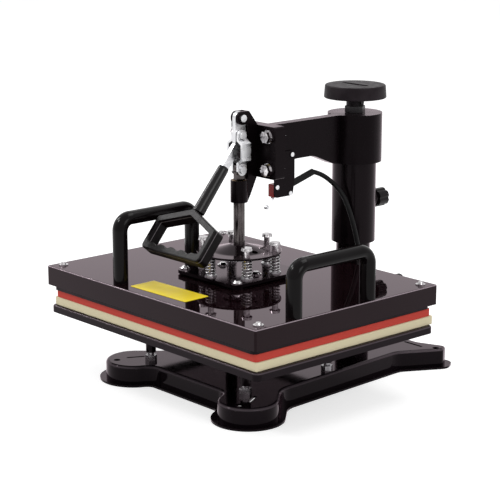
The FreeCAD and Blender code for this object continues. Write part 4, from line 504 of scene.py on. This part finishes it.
class Look(Enum):
    """Every finish on the press."""

    ENAMEL = Paint("gloss_black_enamel")
    # Its rim is a painted highlight along the bends of the base and tray.
    SHEET = Paint("sheet_enamel", colour=(0.0024, 0.0016, 0.0024), lift=(0.0046, 0.0032, 0.0044),
                  roughness=0.07, rim=(0.070, 0.062, 0.068))
    # Its rim is a bright painted highlight along the cover's bends.
    PLATEN = Paint("platen_enamel", colour=(0.0038, 0.0015, 0.0020), lift=(0.0062, 0.0028, 0.0034),
                   roughness=0.022, peel=0.001 * MM, grain=90.0, specular=0.12,
                   tint=(1.0, 0.78, 0.84), rim=(0.34, 0.31, 0.33))
    CAST = Paint("cast_arm_enamel", roughness=0.24, peel=0.03 * MM, grain=180.0,
                 cast=0.03 * MM, specular=0.055)
    TUBE = Paint("column_enamel", roughness=0.16)
    PLATE = Paint("cast_plate_coat", colour=(0.0050, 0.0042, 0.0046),
                  lift=(0.0085, 0.0070, 0.0075), roughness=0.42, peel=0.02 * MM, grain=300.0,
                  specular=0.1)
    ZINC = Metal("bright_zinc", (0.72, 0.72, 0.73), (0.56, 0.56, 0.58), 0.26,
                 grain=(1.0, 1.0, 0.12))
    DULL_ZINC = Metal("dull_zinc", (0.40, 0.39, 0.40), (0.20, 0.19, 0.20), 0.20)
    # Its dark shade patches are painted reflections.
    CHROME = Metal("chrome_plate", (0.80, 0.78, 0.79), (0.24, 0.22, 0.23), 0.08,
                   scratch=0.001 * MM, patch=300.0)
    ROD = Metal("ground_rod", (0.105, 0.092, 0.092), (0.050, 0.043, 0.043), 0.16,
                grain=(1.0, 1.0, 0.05))
    # Its dark shade patches are painted reflections.
    SPRING = Metal("spring_wire", (0.74, 0.72, 0.73), (0.10, 0.09, 0.095), 0.10, patch=360.0)
    BRONZE = Metal("bush_bronze", (0.60, 0.42, 0.22), (0.42, 0.28, 0.13), 0.3)
    BLACK_OXIDE = Metal("black_oxide", (0.045, 0.043, 0.045), (0.02, 0.019, 0.02), 0.35)
    # Its steps are painted shade and painted highlight lines on the side walls.
    GRIP = Plastic("grip_plastic", (0.0036, 0.0026, 0.0029), (0.0085, 0.0062, 0.0070), 0.34,
                   specular=0.14, lay=GRIP_LAY, steps=GRIP_LIGHT_LINES)
    # Its pale colour, drawn out in streaks along the sleeve, is painted highlight.
    SLEEVE = Plastic("sleeve_plastic", (0.0030, 0.0021, 0.0025), (0.0330, 0.0245, 0.0275), 0.22,
                     specular=0.24, texture=0.006 * MM, rub_and_streak=150.0, lay=GRIP_LAY, streak=30.0)
    # The dark bar on its top is painted shade in the mark's slot.
    KNOB = Plastic("knob_plastic", (0.0135, 0.0095, 0.0120), (0.0235, 0.0180, 0.0215), 0.44,
                   specular=0.08, painted_slot_shade=(20.5 * MM, 3.4 * MM, 132.0 * MM))
    LOCK = Plastic("lock_plastic", (0.0060, 0.0046, 0.0054), (0.0130, 0.0105, 0.0118), 0.28)
    HANDLE = Plastic("handle_plastic", (0.0024, 0.0015, 0.0018), (0.0040, 0.0027, 0.0031), 0.15,
                     texture=0.004 * MM, specular=0.10)
    RUBBER = Plastic("lead_rubber", (0.0050, 0.0048, 0.0052), (0.0100, 0.0094, 0.0098), 0.50)
    SWITCH = Plastic("switch_red", (0.36, 0.018, 0.018), (0.45, 0.03, 0.025), 0.38, specular=0.3)
    YELLOW = Plastic("yellow_plate", (0.90, 0.68, 0.008), (0.92, 0.72, 0.012), 0.42,
                     texture=0.001 * MM, grain=300.0, specular=0.2)
    FELT = Felt("cream_felt", (0.93, 0.90, 0.73), (0.80, 0.75, 0.57))
    SILICONE = Sponge("red_silicone", (0.50, 0.018, 0.013), (0.40, 0.014, 0.010))
    BLANKET = Weave("glass_blanket", (0.74, 0.72, 0.66), (0.5, 0.48, 0.42))

    def material(self) -> bpy.types.Material:
        """Builds the finish's material when it is first asked for.

        Returns:
            The one material of this finish.
        """
        return bpy.data.materials.get(self.value.name) or self.value.material()


def put_on(thing: bpy.types.Object, look: Look) -> None:
    """Gives a whole object one finish.

    Args:
        thing: a CAD node or a new piece.
        look: its finish.
    """
    if not thing.material_slots:
        thing.data.materials.append(look.material())
    for slot in thing.material_slots:
        slot.material = look.material()


def shell(grid: np.ndarray) -> Shell:
    """Turns a grid of points, closed round its columns, into a closed shell.

    Rows run along the shape and columns run anticlockwise round it, seen from its far end, so that
    the faces point outwards. The first and last row are each closed by a pole at their mean point.

    Args:
        grid: points, rows by columns by 3, in metres.

    Returns:
        The shell's points, and its faces as lists of point numbers.
    """
    rows, columns = grid.shape[:2]
    index = np.arange(rows * columns).reshape(rows, columns)
    beside = np.roll(index, -1, axis=1)
    first, last = rows * columns, rows * columns + 1
    quads = np.stack([index[:-1], beside[:-1], beside[1:], index[1:]], axis=-1).reshape(-1, 4)
    foot = np.stack([beside[0], index[0], np.full(columns, first)], axis=-1)
    head = np.stack([index[-1], beside[-1], np.full(columns, last)], axis=-1)
    points = np.vstack([grid.reshape(-1, 3), grid[0].mean(axis=0), grid[-1].mean(axis=0)])
    return points, [quads, foot, head]


def solid(name: str, shells: list[Shell], smooth: float = 35.0) -> bpy.types.Object:
    """Makes one piece from one or more closed shells.

    Args:
        name: the piece's name.
        shells: its shells.
        smooth: edges sharper than this, in degrees, stay sharp.

    Returns:
        The piece.
    """
    starts = np.cumsum([0] + [len(points) for points, _ in shells])
    faces = []
    for (_, groups), start in zip(shells, starts):
        for group in groups:
            faces += (group + start).tolist()
    mesh = bpy.data.meshes.new(name)
    mesh.from_pydata(np.vstack([points for points, _ in shells]).tolist(), [], faces)
    mesh.shade_smooth()
    mesh.set_sharp_from_angle(angle=math.radians(smooth))
    made = bpy.data.objects.new(name, mesh)
    bpy.context.scene.collection.objects.link(made)
    log.info("%s: %d points, %d faces", name, starts[-1], len(faces))
    return made


def outline(size: tuple[float, float], corner: float, around: int) -> tuple[np.ndarray, np.ndarray]:
    """Goes anticlockwise round a rectangle whose corners are quarter circles.

    A point of the outline is its base plus the corner's radius times its outward normal. Round a
    corner the base stays at the circle's middle and the normal turns by a quarter. Along a side the
    normal stays and the base runs evenly from one circle's middle to the next.

    Args:
        size: width and depth.
        corner: the corners' radius.
        around: points on each side.

    Returns:
        The bases and the normals, each points by 2.
    """
    half = np.array(size) / 2 - corner
    run = np.linspace(0, 1, around, endpoint=False)
    arc = run * math.pi / 2
    quarter = np.stack([np.cos(arc), np.sin(arc)], axis=-1)
    signs = np.array([(1, 1), (-1, 1), (-1, -1), (1, -1)])
    turns = [np.array([(c, -s), (s, c)]) for c, s in ((1, 0), (0, 1), (-1, 0), (0, -1))]
    bases, normals = [], []
    for n in range(4):
        onward = (n + 1) % 4
        bend = quarter[::SIDE_TO_CORNER] @ turns[n].T
        here, there = half * signs[n], half * signs[onward]
        bases += [np.repeat(here[None], len(bend), axis=0), here + (there - here) * run[:, None]]
        normals += [bend, np.repeat(quarter[:1] @ turns[onward].T, around, axis=0)]
    return np.vstack(bases), np.vstack(normals)


def slab(name: str, size: tuple[float, float], corner: float, rows: Profile, middle: Point,
         ripple: float = 0.0, turn: float = 0.0, around: int = 96) -> bpy.types.Object:
    """Makes a flat body with rounded corners: each row is its outline, drawn in, at a height.

    A row's point is its base plus the normal times the corner's radius less the row's inset. Past
    the corner's radius the base shrinks towards the middle instead. A ripple moves the rim in and
    out by the mean of its sines round the outline. The whole is turned and set on its middle.

    Args:
        name: the object's name.
        size: width and depth.
        corner: the corners' radius.
        rows: inset and height pairs from the foot up.
        middle: the foot's middle.
        ripple: the most that the rim moves, in metres.
        turn: degrees about the upright axis.
        around: points on each side of the outline.

    Returns:
        The new object.
    """
    base, normal = outline(size, corner, around)
    phase = np.linspace(0, 2 * math.pi, len(base), endpoint=False)
    waves = sum(np.sin(phase * count + lag) for count, lag in RIPPLE_WAVES) / len(RIPPLE_WAVES)
    inset, height = np.array(rows).T
    out = np.maximum(corner - inset, 0.0)[:, None] + ripple * waves * (inset < corner)[:, None]
    shrink = np.maximum(inset - corner, 0.0)[:, None] / (np.array(size) / 2 - corner)
    flat = base[None] * np.clip(1 - shrink, 0, 1)[:, None, :] + normal[None] * out[..., None]
    cos, sin = math.cos(math.radians(turn)), math.sin(math.radians(turn))
    grid = np.empty((len(rows), len(base), 3))
    grid[..., 0] = middle[0] + flat[..., 0] * cos - flat[..., 1] * sin
    grid[..., 1] = middle[1] + flat[..., 0] * sin + flat[..., 1] * cos
    grid[..., 2] = middle[2] + height[:, None]
    return solid(name, [shell(grid)])


def edge_rows(thick: float, roll: float, deep: float, steps: int = 5) -> Profile:
    """Works out a slab's rows, its edges quarter rounds, with rings inside its foot and top.

    From the foot up: three rings that come out towards the edge, the lower quarter circle, the side
    at its quarters, the upper quarter circle, and the same rings back.

    Args:
        thick: from foot to top.
        roll: the edges' radius.
        deep: how far in the innermost ring lies.
        steps: rows on each quarter round.

    Returns:
        Inset and height pairs.
    """
    angle = np.linspace(0, math.pi / 2, steps)
    low = [(roll - roll * math.sin(a), roll - roll * math.cos(a)) for a in angle]
    side = [(0.0, roll + (thick - 2 * roll) * share) for share in (0.25, 0.5, 0.75)]
    high = [(inset, thick - height) for inset, height in reversed(low)]
    rings = [deep, deep * 0.4, deep * 0.1 + roll]
    return [(r, 0.0) for r in rings] + low + side + high + [(r, thick) for r in reversed(rings)]


@dataclass
class Bed:
    """The felt pad and the silicone mat that lie on the tray.

    Corner is a layer's radius in plan, roll its edges' radius and ripple its cut rim's waviness.
    """

    pad_corner: float = 2.2 * MM
    pad_roll: float = 1.1 * MM
    pad_ripple: float = 0.22 * MM
    mat_corner: float = 5.0 * MM
    mat_roll: float = 0.7 * MM
    mat_ripple: float = 0.08 * MM
    inner_ring: float = 120.0 * MM

    def layer(self, node: str, corner: float, roll: float, ripple: float,
              look: Look, slot: str) -> None:
        """Builds one layer, in the room that its CAD solid holds.

        Args:
            node: the CAD node that the layer replaces.
            corner: radius of its corners in plan.
            roll: radius of its edges.
            ripple: waviness of its cut rim.
            look: its finish.
            slot: the record's material slot; not used.
        """
        low, high = (Vector(v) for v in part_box(node))
        size = high - low
        plan = (size.x - 2 * ripple, size.y - 2 * ripple)
        foot = ((low.x + high.x) / 2, (low.y + high.y) / 2, low.z)
        rows = edge_rows(size.z, roll, self.inner_ring)
        made = slab(node + "_soft", plan, corner, rows, foot, ripple)
        put_on(made, look)
        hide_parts(node)
        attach(made, "stand")

    def build(self) -> None:
        """Builds both layers."""
        self.layer("felt_pad", self.pad_corner, self.pad_roll, self.pad_ripple,
                   Look.FELT, "cream_felt")
        self.layer("silicone_mat", self.mat_corner, self.mat_roll, self.mat_ripple,
                   Look.SILICONE, "red_silicone")


@dataclass
class Springs:
    """Compression springs between the disc and the platen.

    Ring and coil are the radii on which the springs and their wire run, and wire is the wire's own
    radius. Slack is the gap between the turns that lie close. Steps are counted on each turn of the
    helix and sides round the wire.
    """

    count: int = 6
    ring: float = 46.0 * MM
    first_angle: float = 30.0
    axis_y: float = -66.0 * MM
    coil: float = 5.4 * MM
    wire: float = 1.1 * MM
    slack: float = 0.5 * MM
    turns: float = 5.5
    steps: int = 52
    sides: int = 14

    def coil_shell(self, centre: tuple[float, float], low: float, high: float) -> Shell:
        """Carries a round wire along a helix whose two end turns lie close.

        The height rises by a wire's thickness and a little slack over the first and last turn, and
        evenly over the rest. The wire's section is a circle spanned by the radius of the coil and
        by the direction across it.

        Args:
            centre: the spring's axis.
            low: its foot.
            high: its top.

        Returns:
            The spring's shell.
        """
        turn = np.linspace(0, self.turns, int(self.turns * self.steps) + 1)
        closed = 2 * self.wire + self.slack
        spread = (high - low - 2 * self.wire - 2 * closed) / (self.turns - 2)
        first, last = np.minimum(turn, 1), np.maximum(turn - self.turns + 1, 0)
        between = np.clip(turn - 1, 0, self.turns - 2)
        rise = low + self.wire + closed * first + closed * last + spread * between
        angle = turn * 2 * math.pi
        out = np.stack([np.cos(angle), np.sin(angle), np.zeros_like(angle)], axis=-1)
        flat = np.ones_like(rise)
        core = np.stack([flat * centre[0], flat * centre[1], rise], axis=-1)
        line = out * self.coil + core
        way = np.gradient(line, axis=0)
        way /= np.linalg.norm(way, axis=1, keepdims=True)
        across = np.cross(way, out)
        side = np.linspace(0, 2 * math.pi, self.sides, endpoint=False)[None, :, None]
        ring = np.cos(side) * out[:, None] + np.sin(side) * across[:, None]
        return shell(line[:, None] + self.wire * ring)

    def build(self) -> None:
        """Builds them as one piece that stretches between the rod's disc and the platen."""
        low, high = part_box("press_springs")
        coils = []
        for n in range(self.count):
            angle = math.radians(self.first_angle + n * 360 / self.count)
            centre = (self.ring * math.cos(angle), self.axis_y + self.ring * math.sin(angle))
            coils.append(self.coil_shell(centre, low[2], high[2]))
        pack = solid("press_springs_wound", coils)
        put_on(pack, Look.SPRING)
        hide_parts("press_springs")
        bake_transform(pack)


@dataclass
class Lead:
    """The travel switch's lead: a smooth free cord that hangs beside the post to its connector.

    The route is in millimetres, and the cord is a spline of the given order along it. Along and
    around are the curve's resolutions, along its length and round its section.
    """

    radius: float = 3.0 * MM
    length: float = 200.3 * MM
    order: int = 3
    along: int = 16
    around: int = 5
    route: tuple[Point, ...] = (
        (1.669, 53.108, 253.502), (2.6, 68.0, 249.5), (6.0, 87.0, 236.0), (16.0, 96.5, 220.0),
        (25.0, 99.0, 201.0), (31.0, 101.0, 182.0), (35.0, 103.5, 162.0), (36.6, 107.0, 142.0),
        (36.6, 111.0, 122.0), (35.2, 115.0, 102.0), (34.2, 117.0, 84.0),
    )

    def build(self) -> None:
        """Builds the cord on its route."""
        points = [tuple(value * MM for value in point) for point in self.route]
        curve = bpy.data.curves.new("switch_lead_cord", "CURVE")
        curve.dimensions = "3D"
        curve.bevel_depth, curve.bevel_resolution = self.radius, self.around
        curve.resolution_u, curve.use_fill_caps = self.along, True
        spline = curve.splines.new("NURBS")
        spline.points.add(len(points) - 1)
        for spot, point in zip(spline.points, points):
            spot.co = (*point, 1)
        spline.order_u, spline.use_endpoint_u = self.order, True
        cord = bpy.data.objects.new("switch_lead_cord", curve)
        bpy.context.scene.collection.objects.link(cord)
        put_on(cord, Look.RUBBER)
        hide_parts("switch_lead")
        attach(cord, "arm")


@dataclass
class BlankPlate:
    """The plain yellow plate on the platen's cover."""

    width: float = 99.0 * MM
    depth: float = 37.0 * MM
    thick: float = 0.4 * MM
    corner: float = 1.5 * MM
    roll: float = 0.12 * MM
    inner_ring: float = 12.0 * MM
    middle_x: float = 4.8 * MM
    middle_y: float = -180.7 * MM
    turn: float = 1.6

    def build(self) -> None:
        """Builds the plate on the cover's top."""
        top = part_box("platen_cover")[1][2]
        rows = edge_rows(self.thick, self.roll, self.inner_ring, 3)
        plate = slab("blank_yellow_plate", (self.width, self.depth), self.corner, rows,
                     (self.middle_x, self.middle_y, top), turn=self.turn, around=24)
        put_on(plate, Look.YELLOW)
        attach(plate, "platen")


@dataclass(frozen=True)
class Lamp:
    """A soft box: its middle, its width and height, and its power in watts."""

    name: str
    place: Point
    size: tuple[float, float]
    watts: float


@dataclass
class Studio:
    """Camera, lamps, world and floor.

    The camera's angles are in degrees, and its lens and sensor in millimetres. The floor and the
    world give off one light to the press and another to the camera and in mirrors.
    """

    target: Point = (0.0220751, -0.0679418, 0.1750166)
    azimuth: float = 48.1397
    elevation: float = 13.6469
    distance: float = 2.00647
    lens: float = 119.2535
    sensor: float = 36.0
    near: float = 0.05
    far: float = 60.0
    floor_half: float = 14.0
    floor_grain: float = 3.0
    floor_pale: Colour = (0.72, 0.72, 0.72)
    floor_shade: Colour = (0.70, 0.70, 0.70)
    floor_seen: float = 0.60
    world_lights: float = 0.55
    world_seen: float = 1.0
    lamps: tuple[Lamp, ...] = (
        Lamp("key_box", (-1.7, -1.9, 2.3), (0.5, 0.4), 22.0),
        Lamp("side_box", (-2.4, -0.85, 2.0), (0.4, 0.8), 16.0),
        Lamp("fill_box", (2.5, -0.4, 1.7), (1.3, 1.3), 18.0),
        Lamp("top_box", (0.2, 0.9, 2.8), (1.8, 1.2), 22.0),
    )

    def camera(self) -> None:
        """Sets the camera at the photograph's angle."""
        a, e = math.radians(self.azimuth), math.radians(self.elevation)
        back = Vector((math.sin(a) * math.cos(e), -math.cos(a) * math.cos(e), math.sin(e)))
        data = bpy.data.cameras.new("camera")
        data.lens, data.sensor_width, data.sensor_fit = self.lens, self.sensor, "HORIZONTAL"
        data.clip_start, data.clip_end = self.near, self.far
        eye = bpy.data.objects.new("camera", data)
        eye.location = Vector(self.target) + back * self.distance
        eye.rotation_euler = (-back).to_track_quat("-Z", "Y").to_euler()
        bpy.context.scene.collection.objects.link(eye)
        bpy.context.scene.camera = eye

    def light(self, lamp: Lamp) -> None:
        """Adds a soft box that looks at the press.

        Args:
            lamp: the box.
        """
        data = bpy.data.lights.new(lamp.name, "AREA")
        data.shape, data.size, data.size_y, data.energy = "RECTANGLE", *lamp.size, lamp.watts
        made = bpy.data.objects.new(lamp.name, data)
        made.location = lamp.place
        aim = Vector(self.target) - made.location
        made.rotation_euler = aim.to_track_quat("-Z", "Y").to_euler()
        bpy.context.scene.collection.objects.link(made)

    def seen(self, tree: bpy.types.NodeTree) -> Socket:
        """Adds up whether a ray comes from the camera, a mirror or glass.

        Args:
            tree: the node tree that it goes into.

        Returns:
            A socket that is 1 on those rays and 0 on others.
        """
        path = tree.nodes.new("ShaderNodeLightPath")
        total = path.outputs["Is Camera Ray"]
        for name in ("Is Glossy Ray", "Is Transmission Ray"):
            add = tree.nodes.new("ShaderNodeMath")
            add.operation, add.use_clamp = "ADD", True
            tree.links.new(total, add.inputs[0])
            tree.links.new(path.outputs[name], add.inputs[1])
            total = add.outputs[0]
        return total

    def world(self) -> None:
        """Makes the world white where it is seen or mirrored, and a soft grey where it lights."""
        world = bpy.data.worlds.new("studio")
        world.use_nodes = True
        tree = world.node_tree
        background = tree.nodes["Background"]
        background.inputs["Color"].default_value = (1, 1, 1, 1)
        strength = tree.nodes.new("ShaderNodeMapRange")
        strength.inputs["To Min"].default_value = self.world_lights
        strength.inputs["To Max"].default_value = self.world_seen
        tree.links.new(self.seen(tree), strength.inputs["Value"])
        tree.links.new(strength.outputs["Result"], background.inputs["Strength"])
        bpy.context.scene.world = world

    def floor(self) -> None:
        """Builds a pale floor that keeps a soft shadow."""
        h = self.floor_half
        mesh = bpy.data.meshes.new("floor")
        mesh.from_pydata([(-h, -h, 0), (h, -h, 0), (h, h, 0), (-h, h, 0)], [], [(0, 1, 2, 3)])
        made = bpy.data.objects.new("floor", mesh)
        bpy.context.scene.collection.objects.link(made)
        graph = Graph("floor_paper")
        grain = graph.span(graph.noise(self.floor_grain, 2.0), 0.0, 1.0)
        graph.set(Base_Color=graph.blend(grain, self.floor_shade, self.floor_pale), Roughness=0.9,
                  Specular=0.0, Emission_Color=(1.0, 1.0, 1.0))
        glow = graph.span(self.seen(graph.tree), 0.0, self.floor_seen, 0.0, 1.0)
        made.data.materials.append(graph.set(Emission_Strength=glow))

    def build(self) -> None:
        """Builds the studio."""
        self.camera()
        self.world()
        self.floor()
        for lamp in self.lamps:
            self.light(lamp)
        bpy.context.scene.view_settings.view_transform = "Standard"


class Frame:
    """The CAD nodes that stay, each with its finish."""

    def looks(self) -> dict[Look, tuple[str, ...]]:
        """Sorts the nodes by their finishes.

        Returns:
            The nodes' names under each finish.
        """
        return {
            Look.ENAMEL: ("post_flange", "tray_bosses", "spring_plate", "plate_spacers",
                          "pressure_disc"),
            Look.SHEET: ("base_frame", "tray"),
            Look.PLATEN: ("platen_cover",),
            Look.CAST: ("swing_arm", "guide_head", "switch_bracket"),
            Look.TUBE: ("column_sleeve", "column_post"),
            Look.ZINC: ("post_bolts", "post_nuts", "screw_nut", "lift_carriage", "pivot_pin",
                        "crank_pin", "lever_bar", "link_right", "link_left", "link_pins",
                        "switch_screws", "rod_nut", "spring_seats", "flange_nuts",
                        "heating_element", "thermal_probe", "handle_screws", "switch_lever",
                        "switch_roller"),
            Look.DULL_ZINC: ("tray_studs", "tray_nuts"),
            Look.CHROME: ("flange_bolts", "spring_bolts", "plate_bolts", "cover_screws",
                          "lead_connector"),
            Look.ROD: ("press_rod",),
            Look.PLATE: ("heat_plate",),
            Look.BRONZE: ("guide_bush",),
            Look.BLACK_OXIDE: ("knob_spindle", "knob_set_screw", "thrust_collar", "lock_screw"),
            Look.GRIP: ("lever_grip",),
            Look.SLEEVE: ("lever_sleeve",),
            Look.KNOB: ("pressure_knob",),
            Look.LOCK: ("lock_knob",),
            Look.HANDLE: ("side_handle_left", "side_handle_right"),
            Look.RUBBER: ("lead_sleeve", "cable_gland"),
            Look.SWITCH: ("microswitch",),
            Look.BLANKET: ("insulation",),
        }

    def build(self) -> None:
        """Gives every node that stays its finish."""
        for look, names in self.looks().items():
            for name in names:
                put_on(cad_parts[name], look)
                log.info("%s: %s", name, look.value.name)


def main() -> None:
    logging.basicConfig(level=logging.INFO, format="%(message)s")
    for assembly in (Studio(), Lead(), Frame(), Bed(), Springs(), BlankPlate()):
        assembly.build()
        log.info("built %s", type(assembly).__name__)


if __name__ == "__main__":
    main()
